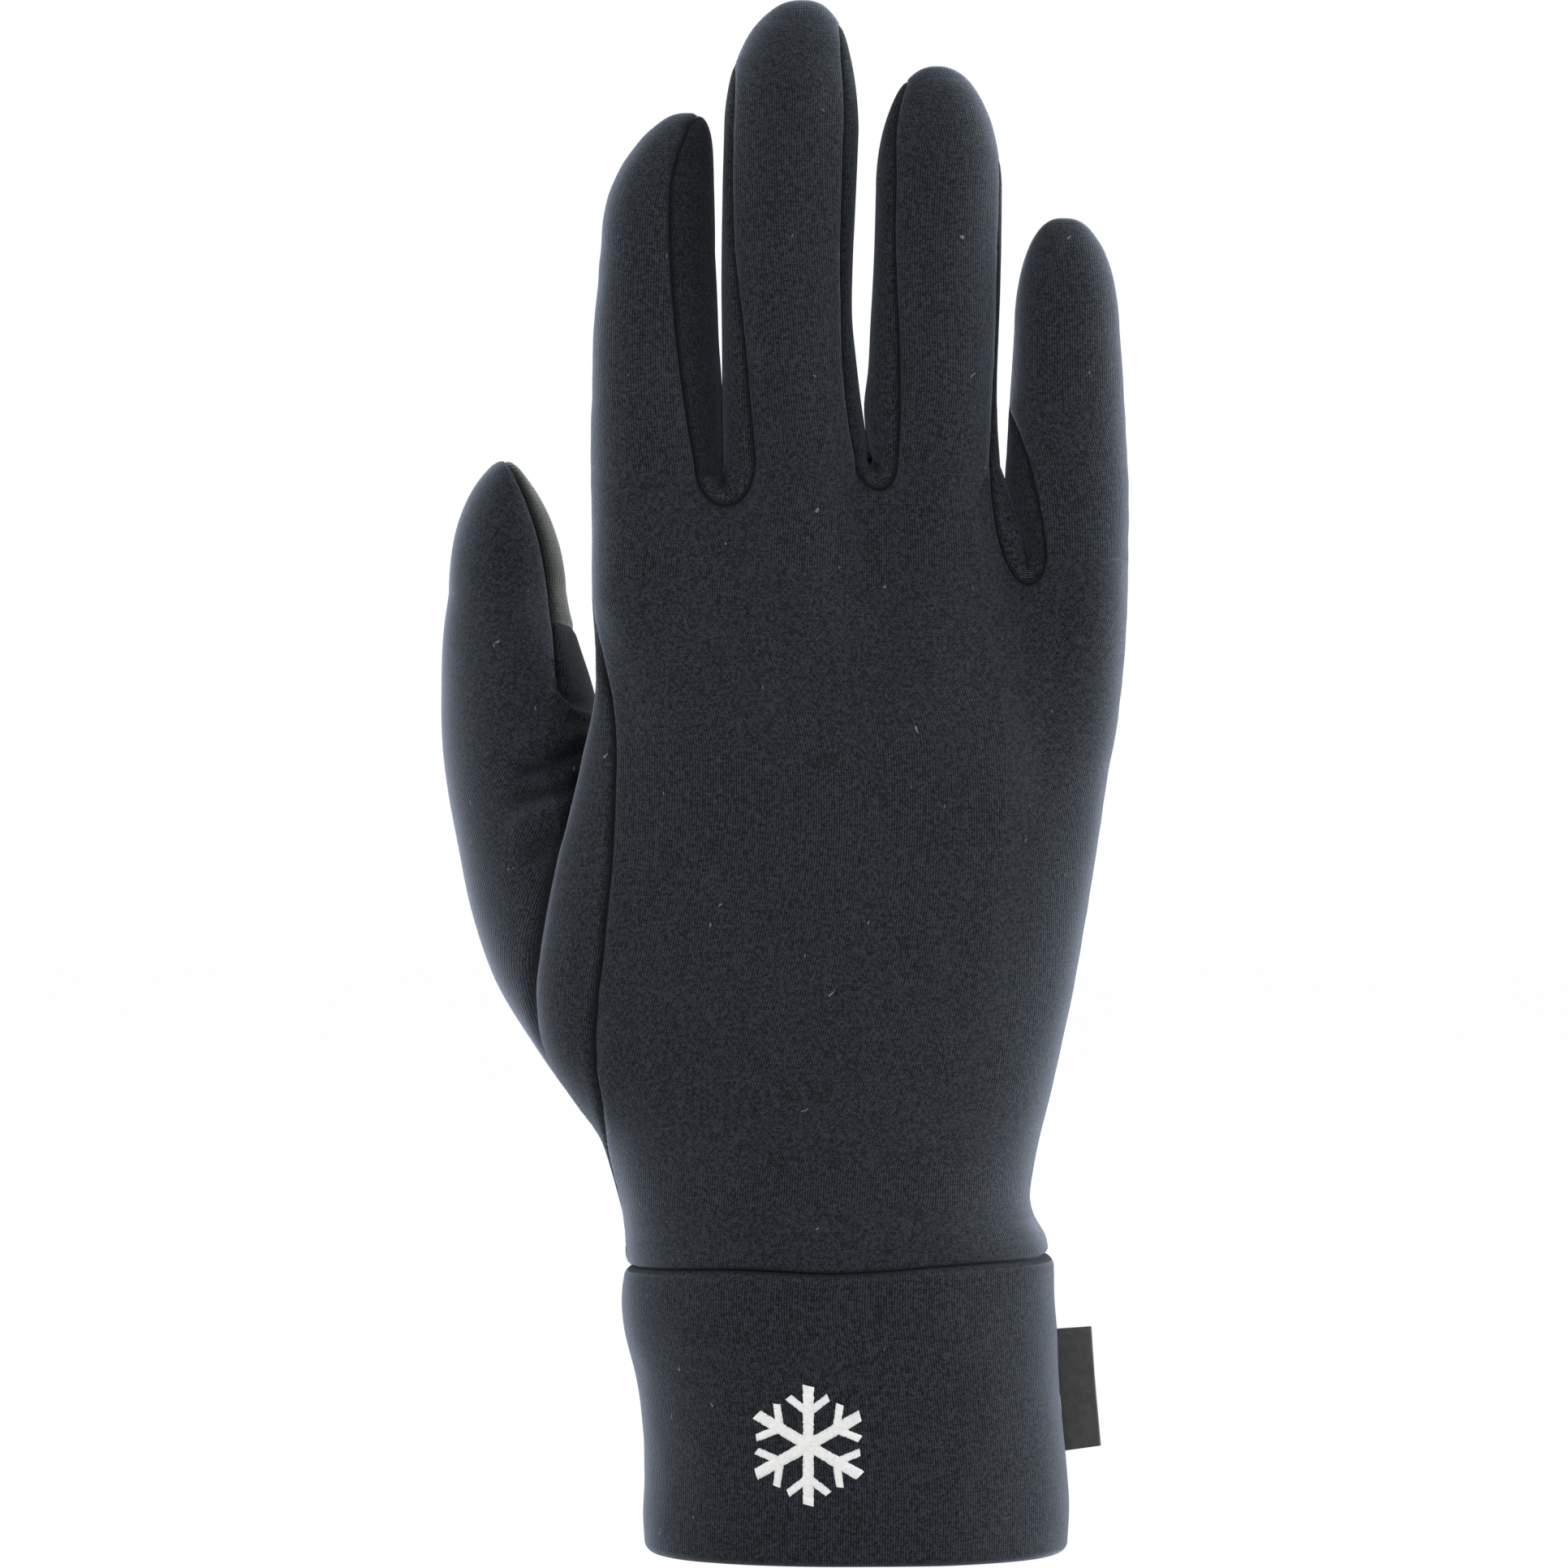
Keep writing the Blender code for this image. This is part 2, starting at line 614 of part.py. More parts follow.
def cuff_side(z):
    """The ulnar edge of the cuff at this height."""
    stations = (0.0, CUFF_HEIGHT / 2, CUFF_HEIGHT)
    return along(stations, (CUFF_RIM_RIGHT, CUFF_WAIST_RIGHT, CUFF_TOP_RIGHT), z)


def build_label(label):
    """A strip of woven tape folded on itself, its two ends sewn into the side seam."""
    half = LABEL_FOLD_GAP / 2
    outside = half + LABEL_LAYER
    turn = np.linspace(math.pi / 2, -math.pi / 2, LABEL_STEPS + 1)
    bend = LABEL_REACH - outside
    outline = [(0.0, outside)]
    outline += [(bend + outside * math.cos(t), outside * math.sin(t)) for t in turn]
    outline += [(0.0, -outside), (0.0, -half)]
    outline += [(bend + half * math.cos(t), half * math.sin(t)) for t in turn[::-1]]
    outline += [(0.0, half)]
    points = []
    for z in (LABEL_BOTTOM, LABEL_TOP):
        points += [(cuff_side(z) + LABEL_STANDOFF + x, y, z) for x, y in outline]
    count = len(outline)
    faces = [[k, k + count, (k + 1) % count + count, (k + 1) % count] for k in range(count)]
    half_way = count // 2
    for k in range(half_way - 1):
        a, b, c, d = k, k + 1, count - 2 - k, count - 1 - k
        faces.append([a, b, c, d])
        faces.append([d + count, c + count, b + count, a + count])
    return add_object("side_label", points, faces, label, WOVEN_TAPE)


def build_finger(f, lower, tip, normals):
    rows = finger_rows(f)
    seam, bend = SEAM_GAP / 2, BEND_GAP / 2
    for side, grid in finger_panels(f, rows[: LOWER_STEPS + 1]).items():
        add_panel(f"{f.name}_{side}_lower", grid, normals, (bend, bend, seam, seam), lower)
    upper = finger_panels(f, rows[LOWER_STEPS:])
    for side, grid in upper.items():
        trims = (bend, seam, seam, seam)
        if f is INDEX and side == "palm":
            add_panel(f"{f.name}_{side}_tip", grid[: TIP_STEPS + 1], normals, trims, tip)
            pad = (seam, seam, seam, seam)
            add_panel("index_touch_pad", grid[TIP_STEPS:], normals, pad, tip, CONDUCTIVE)
        else:
            add_panel(f"{f.name}_{side}_tip", grid, normals, trims, tip)


def build_hand(hand, cutters):
    back, palm = hand_grids()
    gussets = [crotch_grid(FINGERS[k], FINGERS[k + 1], CROTCHES[k][1]) for k in range(3)]
    skin = [back, palm] + gussets
    for f in FINGERS:
        skin += list(finger_panels(f, finger_rows(f)).values())
    normals = skin_normals(skin)
    seam, bend = SEAM_GAP / 2, BEND_GAP / 2
    add_panel("back_panel", back, normals, (0.0, bend, seam, seam), hand)
    palm_panel = add_panel("palm_panel", palm, normals, (0.0, bend, seam, seam), hand)
    for (name, _), grid in zip(CROTCHES, gussets):
        trims = (GUSSET_END, GUSSET_END, GUSSET_TRIM, GUSSET_TRIM)
        add_panel(f"{name}_fourchette", grid, normals, trims, hand)
    volume = np.concatenate([back, palm[:, 1:-1]], axis=1)
    rings = offset_grid(volume, normals, -HAND_CLEARANCE)[: len(HAND_SHARES) - 3]
    points = rings.reshape(-1, 3)
    faces = capped_faces(*rings.shape[:2])
    hand_cutter = add_cutter("hand_volume", points, faces, cutters)
    return normals, palm_panel, hand_cutter


def build_thumb(hand, thumb, palm_panel, hand_cutter, cutters):
    low = CUFF_HEIGHT + THUMB_UP[0] * MM
    seam, bend = SEAM_GAP / 2, BEND_GAP / 2
    full = np.linspace(0, 2 * math.pi, THUMB_RING, endpoint=False)
    # Fixed base: a tube that the hand's own surface cuts to its sewn edge
    heights = np.linspace(low, THUMB_BEND_Z - bend, THUMB_ROWS)
    outside = [thumb_ring(z, full) for z in heights]
    inside = [thumb_ring(z, full, FABRIC) for z in reversed(heights)]
    points = np.concatenate(outside + inside)
    base = add_object("thumb_base", points, ring_faces(2 * THUMB_ROWS, THUMB_RING), hand)
    cut(base, hand_cutter)
    # Hole in the palm panel that the thumb goes through
    bore = [thumb_ring(z, full, FABRIC) for z in np.linspace(low, THUMB_BEND_Z, THUMB_ROWS)]
    hole = add_cutter(
        "thumb_hole", np.concatenate(bore), capped_faces(THUMB_ROWS, THUMB_RING), cutters
    )
    cut(palm_panel, hole)
    # Moving panels above the bend
    rows = np.linspace(THUMB_BEND_Z, thumb_top(), THUMB_LOWER_ROWS + THUMB_PAD_ROWS + 1)
    outer = thumb_grid(rows, DOME_SHARES, math.pi)
    inner = thumb_grid(rows[: THUMB_LOWER_ROWS + 1], (), 0.0)
    pad = thumb_grid(rows[THUMB_LOWER_ROWS:], DOME_SHARES, 0.0)
    normals = skin_normals([outer, inner, pad])
    add_panel("thumb_outer", outer, normals, (bend, seam, seam, seam), thumb)
    add_panel("thumb_inner", inner, normals, (bend, seam, seam, seam), thumb)
    add_panel("thumb_touch_pad", pad, normals, (seam, seam, seam, seam), thumb, CONDUCTIVE)


def main():
    for old in list(bpy.data.objects):
        bpy.data.objects.remove(old, do_unlink=True)
    parts = bpy.data.collections.new("liner_glove")
    cutters = bpy.data.collections.new("cutters")
    for collection in (parts, cutters):
        bpy.context.scene.collection.children.link(collection)
    wrist_palm = hand_section(CUFF_HEIGHT)[3]
    cuff = make_body("cuff", (0, 0, 0), None, parts)
    label_mid = (LABEL_TOP + LABEL_BOTTOM) / 2
    label = make_body("label", (cuff_side(label_mid), 0, label_mid), cuff, parts)
    hand = make_body("hand", (0, wrist_palm, CUFF_HEIGHT), cuff, parts)
    build_cuff(cuff)
    build_label(label)
    normals, palm_panel, hand_cutter = build_hand(hand, cutters)
    for f in FINGERS:
        rows = finger_rows(f)
        root, bend = rows[0], rows[LOWER_STEPS]
        lower = make_body(f.name + "_lower", (root[1], root[2] + root[4], f.base), hand, parts)
        tip = make_body(f.name + "_tip", (bend[1], bend[2] + bend[4], f.middle), lower, parts)
        build_finger(f, lower, tip, normals)
    centre, radius, close = thumb_frame(THUMB_BEND_Z)[:3]
    thumb = make_body("thumb", centre + radius * close, hand, parts)
    build_thumb(hand, thumb, palm_panel, hand_cutter, cutters)
    bpy.context.view_layer.update()


main()
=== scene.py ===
"""Dressed model of a right-hand stretch-fleece liner glove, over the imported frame.

+Z runs to the fingertips, the back of the hand faces -Y, the thumb is at -X. Lengths are metres.
"""

import math

import bmesh
import bpy
import numpy as np
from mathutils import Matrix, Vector, noise
from mathutils.bvhtree import BVHTree
from mathutils.kdtree import KDTree


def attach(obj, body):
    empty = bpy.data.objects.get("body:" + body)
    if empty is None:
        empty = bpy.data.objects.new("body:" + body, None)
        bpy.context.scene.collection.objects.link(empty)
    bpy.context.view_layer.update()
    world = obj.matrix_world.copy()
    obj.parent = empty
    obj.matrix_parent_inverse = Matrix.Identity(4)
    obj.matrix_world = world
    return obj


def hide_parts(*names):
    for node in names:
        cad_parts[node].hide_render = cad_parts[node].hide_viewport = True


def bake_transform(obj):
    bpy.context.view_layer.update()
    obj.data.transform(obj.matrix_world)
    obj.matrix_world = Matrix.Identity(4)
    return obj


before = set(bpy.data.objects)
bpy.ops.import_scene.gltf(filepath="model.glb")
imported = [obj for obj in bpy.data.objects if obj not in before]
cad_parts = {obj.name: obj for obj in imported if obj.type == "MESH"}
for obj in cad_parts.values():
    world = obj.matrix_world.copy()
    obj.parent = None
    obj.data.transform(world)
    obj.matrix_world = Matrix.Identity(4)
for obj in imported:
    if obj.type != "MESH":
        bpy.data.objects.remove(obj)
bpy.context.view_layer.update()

MM = 0.001
DEG = math.pi / 180

FABRIC = 1.2 * MM          # thickness of the fleece as dressed
FINGER_ROUND = 2.25
HAND_ROUND = 2.5
CUFF_ROUND = 2.3
STEP = 1.3 * MM            # spacing of points away from the seams
SEAM_STEPS = np.array([0.0, 0.16, 0.34, 0.56, 0.85, 1.3, 1.9, 2.7, 3.6]) * MM

# Seam groove and the rolled edges beside it
GROOVE = 0.9 * MM
GROOVE_WIDTH = 0.42 * MM
ROLL = 0.1 * MM
ROLL_AT = 1.7 * MM
ROLL_WIDTH = 1.0 * MM
SHADE_WIDTH = 0.5 * MM      # how far the shade of a seam reaches
CREASE_DEPTH = 0.5 * MM     # where the thumb meets the hand
CREASE_WIDTH = 1.1 * MM


def smooth_step(x):
    x = np.clip(x, 0.0, 1.0)
    return x * x * (3 - 2 * x)


def bell(x):
    return np.exp(-(x ** 2))


def along(stations, values, z):
    """A smooth curve through the values at the stations, read at z."""
    stations = np.asarray(stations, float)
    values = np.asarray(values, float)
    slopes = np.gradient(values, stations)
    z = np.clip(z, stations[0], stations[-1])
    k = np.clip(np.searchsorted(stations, z) - 1, 0, len(stations) - 2)
    span = stations[k + 1] - stations[k]
    u = (z - stations[k]) / span
    rise = values[k + 1] - values[k]
    start = values[k] + u * (span * slopes[k])
    bend = u * u * (3 * rise - span * (2 * slopes[k] + slopes[k + 1]))
    close = u * u * u * (span * (slopes[k] + slopes[k + 1]) - 2 * rise)
    return start + bend + close


def mm_along(stations, values, z):
    return along(np.array(stations) * MM, np.array(values) * MM, z)


def oval(half_width, half_depth, angle, round_off):
    c, s = np.cos(angle), np.sin(angle)
    x = half_width * np.sign(c) * np.abs(c) ** (2 / round_off)
    y = half_depth * np.sign(s) * np.abs(s) ** (2 / round_off)
    return x, y


def run_along(points, axis=0):
    """Length along rows or columns of points, from 0."""
    steps = np.diff(points, axis=axis, prepend=np.take(points, [0], axis=axis))
    return np.cumsum(np.linalg.norm(steps, axis=-1), axis=axis)


def spaced(length, step=STEP):
    """Shares from 0 to 1 along a length, drawn together at its ends, which are seams."""
    start, end = SEAM_STEPS, length - SEAM_STEPS[::-1]
    while start[-1] >= end[0]:
        start, end = start[:-1], end[1:]
    count = max(1, int(round((end[0] - start[-1]) / step)))
    middle = np.linspace(start[-1], end[0], count + 1)[1:-1]
    return np.concatenate([start, middle, end]) / length


# Finger stalls

# Angles of the palm seams of a stall's walls
LEFT_PALM, RIGHT_PALM = 131.0, 50.0


class Finger:
    def __init__(self, name, heights, edges, x_tip, depth, lean, round_tip, left_seam=None, right_seam=None):
        self.name = name
        # Heights of the bend at the hand, of the join of the two dressed lengths, of the bend at half
        # length, of the start of the closed tip and of its end
        self.base, self.split, self.middle, self.shoulder, self.tip = (h * MM for h in heights)
        self.edges = edges             # heights, left edge and right edge, in mm
        self.x_tip = x_tip * MM
        self.depth = (depth[0] * MM, depth[1] * MM)
        self.lean = lean * MM          # how far the tip leans towards the palm
        self.round_tip = round_tip     # exponent of the tip's outline
        # Seams beside the back panel: heights and x of each, in mm
        self.left_seam, self.right_seam = left_seam, right_seam
        self.left_palm = LEFT_PALM if left_seam else 180.0
        self.right_palm = RIGHT_PALM if right_seam else 0.0


INDEX = Finger(
    "index", (175.5, 191.9, 202.9, 212.9, 236.2),
    (
        (175.5, 184.9, 191.5, 196.9, 204.9, 212.9),
        (-43.6, -43.7, -43.5, -43.3, -42.7, -42.1),
        (-21.9, -22.0, -22.15, -22.5, -22.8, -23.2),
    ),
    -27.8, (9.3, 8.2), 4.0, 1.0,
    right_seam=((175.5, 190.5, 205.3, 216.0, 224.5, 235.6), (-25.8, -28.3, -29.9, -30.4, -30.2, -27.0)),
)
MIDDLE = Finger(
    "middle", (177.5, 193.9, 208.9, 232.9, 254.7),
    (
        (177.5, 182.9, 186.9, 191.5, 195.9, 200.9, 209.9, 220.9, 232.9),
        (-22.05, -22.08, -22.1, -22.12, -22.15, -22.2, -22.2, -22.1, -21.8),
        (2.4, 1.6, 1.0, 0.4, -0.1, -0.6, -0.6, -0.1, 0.4),
    ),
    -8.8, (9.6, 8.8), 4.0, 0.97,
    ((177.5, 190.5, 199.0, 211.7, 228.8, 254.2), (-16.8, -18.0, -18.8, -20.2, -20.6, -19.6)),
    ((177.5, 185.3, 195.5, 208.4, 223.6, 238.9, 254.2), (0.2, -1.1, -2.0, -2.3, -2.0, -1.7, -3.0)),
)
RING = Finger(
    "ring", (177.5, 192.9, 204.9, 222.9, 243.8),
    (
        (177.5, 182.9, 186.9, 193.9, 200.9, 212.9, 222.9),
        (2.3, 1.55, 1.2, 1.95, 2.3, 2.9, 3.2),
        (23.7, 23.3, 23.1, 23.1, 23.4, 23.8, 23.9),
    ),
    13.4, (9.3, 8.3), 4.0, 1.0,
    ((177.5, 187.9, 198.1, 213.4, 223.6, 236.4, 243.2), (6.3, 6.7, 6.5, 5.9, 6.1, 6.7, 9.0)),
    ((177.5, 193.0, 208.4, 223.6, 243.2), (22.0, 22.7, 23.2, 23.6, 23.0)),
)
LITTLE = Finger(
    "little", (162.2, 175.9, 185.9, 199.9, 218.7),
    (
        (162.2, 166.9, 170.9, 174.9, 179.9, 186.9, 193.9, 199.9),
        (26.6, 25.6, 24.85, 24.45, 24.7, 25.2, 25.7, 26.1),
        (44.7, 44.7, 44.7, 44.6, 44.4, 44.1, 43.6, 43.2),
    ),
    34.3, (8.6, 7.4), 3.0, 0.95,
    ((162.2, 166.0, 170.2, 177.3, 184.9, 218.2), (30.6, 30.3, 29.6, 28.0, 25.6, 25.6)),
)
FINGERS = (INDEX, MIDDLE, RING, LITTLE)
# Lowest point of each crotch seam, and how far across it lies, at its seams and at mid depth
CROTCHES = (
    ("index_middle", 170.8, 0.5, 0.5), ("middle_ring", 173.5, 0.57, 0.57), ("ring_little", 158.0, 0.68, 0.97),
)
CROTCH_RISE = 7.0 * MM
CREASE_GATHER = 2.2         # how soon behind the seam the saddle folds to a crease
CREASE_CLOSE = 1.5          # how closely its two sides lie together at the crease
CROTCH_STEPS = 26
CROTCH_FAN = 0.6           # how far the cloth under a crotch spreads, as a share of its half width
WALL_SHARES = spaced(11 * MM)
PANEL_SHARES = spaced(22 * MM)
TIP_SEAM = 0.05             # width of the seam over a tip, as a share of the stall's
TIP_DRIFT = 2.3             # how late the middle of a tip heads for its point
DOME_ROWS = 24
WALL_END = 0.7              # share of the closed tip from which the back seams draw together
INDEX_PAD_Z = 212.9 * MM


def finger_section(f, z, turn=0.0):
    """Centre x and y, half width and half depth at this height, or at this turn of the closed tip."""
    rise = math.sin(turn)
    if turn:
        z = f.shoulder + (f.tip - f.shoulder) * rise
    left, right = mm_along(f.edges[0], f.edges[1], z), mm_along(f.edges[0], f.edges[2], z)
    share = min(1.0, (z - f.base) / (f.shoulder - f.base))
    depth = f.depth[0] + (f.depth[1] - f.depth[0]) * share
    x, half = (left + right) / 2, (right - left) / 2
    y = f.lean * ((z - f.base) / (f.tip - f.base)) ** 2
    if turn:
        x += (f.x_tip - x) * rise ** TIP_DRIFT
        half *= TIP_SEAM + (1 - TIP_SEAM) * max(0.0, math.cos(turn)) ** f.round_tip
        depth *= max(0.0, math.cos(turn))
    return x, y, half, depth, z


def seam_angle(section, seam):
    """The angle of a back seam on a section, from its x."""
    x, _, half, _, z = section
    share = np.clip((mm_along(seam[0], seam[1], z) - x) / half, -1, 1)
    return -math.acos(np.sign(share) * abs(share) ** (FINGER_ROUND / 2)) / DEG


def finger_sections(f):
    """Sections from the base bend to the tip, each with its share of the closed tip."""
    lower = np.linspace(f.base, f.split, 1 + int(round((f.split - f.base) / STEP)))
    upper = np.linspace(f.split, f.shoulder, 1 + int(round((f.shoulder - f.split) / STEP)))[1:]
    out = [(finger_section(f, z), 0.0) for z in np.concatenate([lower, upper])]
    for share in np.linspace(0, 1, DOME_ROWS)[1:]:
        out.append((finger_section(f, 0.0, share * math.pi / 2), share))
    return out, len(lower)


def finger_arc(section, start, stop, shares):
    x, y, half, depth, z = section
    angle = (start + (stop - start) * shares) * DEG
    dx, dy = oval(half, depth, angle, FINGER_ROUND)
    return np.stack([x + dx, y + dy, np.full_like(dx, z)], axis=-1)


def finger_panels(f):
    """The stall's panels from base to tip, as grids of outer points."""
    sections, split = finger_sections(f)
    grids = {}
    for section, dome in sections:
        keep = 1 - smooth_step((dome - WALL_END) / (1 - WALL_END))
        left_back = -180 + (seam_angle(section, f.left_seam) + 180) * keep if f.left_seam else -180.0
        right_back = seam_angle(section, f.right_seam) * keep if f.right_seam else 0.0
        left_palm = 180 + (f.left_palm - 180) * (1 - dome)
        right_palm = f.right_palm * (1 - dome)
        arcs = {"back": (left_back, right_back, PANEL_SHARES), "palm": (right_palm, left_palm, PANEL_SHARES)}
        if f.right_seam:
            arcs["ulnar_wall"] = (right_back, right_palm, WALL_SHARES)
        if f.left_seam:
            arcs["radial_wall"] = (left_palm, left_back + 360, WALL_SHARES)
        for side, arc in arcs.items():
            grids.setdefault(side, []).append(finger_arc(section, *arc))
    return {side: np.array(grid) for side, grid in grids.items()}, split


def crotch_grid(left_wall, right_wall, bottom, lowest, crease):
    """A saddle between two stalls: U curves from the right stall's wall down and up the left stall's."""
    turn = np.linspace(0, math.pi / 2, CROTCH_STEPS // 2 + 1)
    columns = []
    for p, q, v in zip(left_wall, right_wall, WALL_SHARES):
        inward = 4 * v * (1 - v)
        folded = 1 - (1 - inward) ** CREASE_GATHER
        low = p + (q - p) * (lowest + (crease - lowest) * inward)
        low[2] = bottom + CROTCH_RISE * inward
        legs = []
        for top in (q, p):
            height = 1 - np.sin(turn)
            out = (np.cos(turn) * (1 - folded) + height ** CREASE_CLOSE * folded)[:, None]
            leg = low + (top - low) * out
            leg[:, 2] = low[2] + (top[2] - low[2]) * height
            legs.append(leg)
        columns.append(np.concatenate([legs[0], legs[1][::-1][1:]]))
    return np.stack(columns, axis=1)


# Hand

HAND_Z = (
    45.9, 48.4, 51.4, 53.9, 56.4, 61.9, 67.4, 72.9, 79.1, 88.9, 102.5, 112.2, 119.9, 129.9, 139.5, 154.9,
    168.9,
)
HAND_LEFT = (
    -37.4, -37.8, -37.8, -38.1, -38.7, -40.3, -42.3, -46.3, -50.3, -52.7, -51.7, -49.5, -47.4, -45.0,
    -43.3, -43.1, -43.1,
)
HAND_RIGHT = (
    31.4, 31.5, 30.9, 29.4, 28.6, 29.0, 30.1, 31.4, 32.8, 34.9, 37.5, 39.0, 40.3, 41.5, 42.6, 43.8, 44.4,
)
DEPTH_Z = (45.9, 56.9, 67.9, 80.9, 91.9, 104.9, 119.9, 136.9, 154.9)
BACK_DEPTH = (21.4, 20.8, 20.2, 19.2, 18.2, 17.0, 15.6, 14.0, 12.4)
PALM_DEPTH = (21.4, 20.6, 20.4, 20.6, 20.8, 20.2, 18.4, 15.6, 12.4)
SIDE_SEAM_Z = (45.9, 56.9, 64.6, 73.9, 82.5, 88.5, 95.3, 103.8, 112.2, 123.7, 132.2, 144.2, 149.2, 155.9)
SIDE_SEAM_X = (
    -37.4, -38.6, -40.6, -41.9, -43.0, -42.7, -41.8, -41.0, -40.2, -39.7, -39.6, -40.6, -41.7, -43.1,
)
HAND_SHARES = spaced(120 * MM, 1.5 * MM)     # from the upper edge down to the wrist
KNUCKLE_BLEND = 0.36       # share of a column's length over which it fans out
KNUCKLE_X = (-44.0, -20.0, 5.0, 22.0, 34.0, 45.0)
KNUCKLE_Z = (176.5, 178.0, 178.0, 174.0, 163.0, 160.0)
KNUCKLE_MELT = 52.0 * MM   # height over which the stalls melt into the hand
LEVEL_DEPTH = 12.0 * MM    # height over which the valleys between the stalls even out
LEVEL_LIFT = 1.06
LEVEL_STEP, LEVEL_BELL, LEVEL_REACH = 0.25 * MM, 5.5 * MM, 40
LEVEL_FADE = 6 * MM
EDGE_COLUMNS, EDGE_ROWS = 10, 11        # points beside a side seam, and rows at its top, set straight
FOLD_SPREAD = (0.2, 0.5, 0.8, 1.0, 0.8, 0.5, 0.2)
FOLD_LEAST = 0.02 * MM
BASE_ROWS, BASE_SLOPE, BASE_BLUR = 8, 0.05 * MM, 7
SHORTEST = 0.05 * MM        # least length that counts between points
FIELD_EDGE, FIELD_FADE = 0.92, 0.2      # shares of the half width
CLOSE_REACH = 8.0 * MM     # how far from a side seam the panels are drawn in to meet
FAN_DEPTH = 6.0 * MM       # height over which the columns under a crotch fan out
RELAX_TURNS = 14
RELAX_PULL = 0.6
LEVEL_FROM, LEVEL_TO = -34.0 * MM, 36.0 * MM
CUFF_SEAM_X = (-38.0, -28.0, -20.0, -12.0, -5.0, 4.0, 12.0, 18.0, 32.5)
CUFF_SEAM_Z = (46.4, 46.9, 47.1, 46.8, 46.5, 46.9, 47.5, 47.8, 48.2)


def hand_section(z):
    left, right = mm_along(HAND_Z, HAND_LEFT, z), mm_along(HAND_Z, HAND_RIGHT, z)
    back, palm = mm_along(DEPTH_Z, BACK_DEPTH, z), mm_along(DEPTH_Z, PALM_DEPTH, z)
    return (left + right) / 2, (right - left) / 2, back, palm


def side_seam_angle(z):
    centre, half = hand_section(z)[:2]
    share = np.clip((mm_along(SIDE_SEAM_Z, SIDE_SEAM_X, z) - centre) / half, -1, 1)
    return -np.arccos(-np.abs(share) ** (HAND_ROUND / 2))


def cuff_seam(x):
    """Height of the wavy seam between cuff and hand."""
    return mm_along(CUFF_SEAM_X, CUFF_SEAM_Z, x)


def stall_targets(arc, left_shift, right_shift):
    """Where the columns under a stall head for: a little closer together than they start."""
    low, high = arc[:, 0].min(), arc[:, 0].max()
    share = (arc[:, 0] - low) / (high - low)
    return low + left_shift + share * (high - low - left_shift - right_shift)


def crotch_targets(curve):
    """Where the columns under a crotch head for, fanned out so that none cross. Left to right."""
    half = CROTCH_STEPS // 2
    out = (1 + CROTCH_FAN) * np.linspace(1, 0, half + 1)
    low = curve[half, 0]
    left, right = low - (low - curve[0, 0]) * out, low + (curve[-1, 0] - low) * out[::-1]
    return np.concatenate([left, right[1:]])


def upper_edge(side, column):
    """The upper edge of the back or palm panel from the thumb side, and where its columns head for."""
    points, targets = [], []
    curves = [g[::-1, column] for g in gussets]
    half, last = CROTCH_STEPS // 2, len(curves)
    for k, finger in enumerate(FINGERS):
        arc = panels[finger.name][side][0]
        arc = arc if side == "back" else arc[::-1]
        left = CROTCH_FAN * (curves[k - 1][-1, 0] - curves[k - 1][half, 0]) if k else 0.0
        right = CROTCH_FAN * (curves[k][half, 0] - curves[k][0, 0]) if k < last else 0.0
        points.append(arc)
        targets.append(stall_targets(arc, left, right))
        if k < last:
            points.append(curves[k][1:-1])
            targets.append(crotch_targets(curves[k])[1:-1])
    return np.concatenate(points), np.concatenate(targets)


def level_edge(points, targets):
    """Depth of the upper edge by x, with the valleys between the stalls evened out."""
    fine = np.arange(targets.min(), targets.max(), LEVEL_STEP)
    depth = np.interp(fine, targets, points[:, 1])
    reach = np.arange(-LEVEL_REACH, LEVEL_REACH + 1) * LEVEL_STEP
    weight = bell(reach / LEVEL_BELL)
    padded = np.pad(depth, LEVEL_REACH, mode="edge")
    even = np.convolve(padded, weight / weight.sum(), mode="valid") * LEVEL_LIFT
    inside = smooth_step((fine - LEVEL_FROM) / LEVEL_FADE) * smooth_step((LEVEL_TO - fine) / LEVEL_FADE)
    return fine, depth + (even - depth) * inside


def relaxed(values, grid):
    """Values on a grid made even by the lengths between its points, with the grid's borders kept."""
    steps_up, steps_over = (
        1 / np.maximum(np.linalg.norm(np.diff(grid, axis=axis), axis=-1), SHORTEST) for axis in (0, 1)
    )
    down, up = steps_up[:-1, 1:-1], steps_up[1:, 1:-1]
    left, right = steps_over[1:-1, :-1], steps_over[1:-1, 1:]
    total = down + up + left + right
    out = np.array(values)
    for _ in range(RELAX_TURNS):
        mean = down * out[:-2, 1:-1] + up * out[2:, 1:-1] + left * out[1:-1, :-2] + right * out[1:-1, 2:]
        out[1:-1, 1:-1] += RELAX_PULL * (mean / total - out[1:-1, 1:-1])
    return out


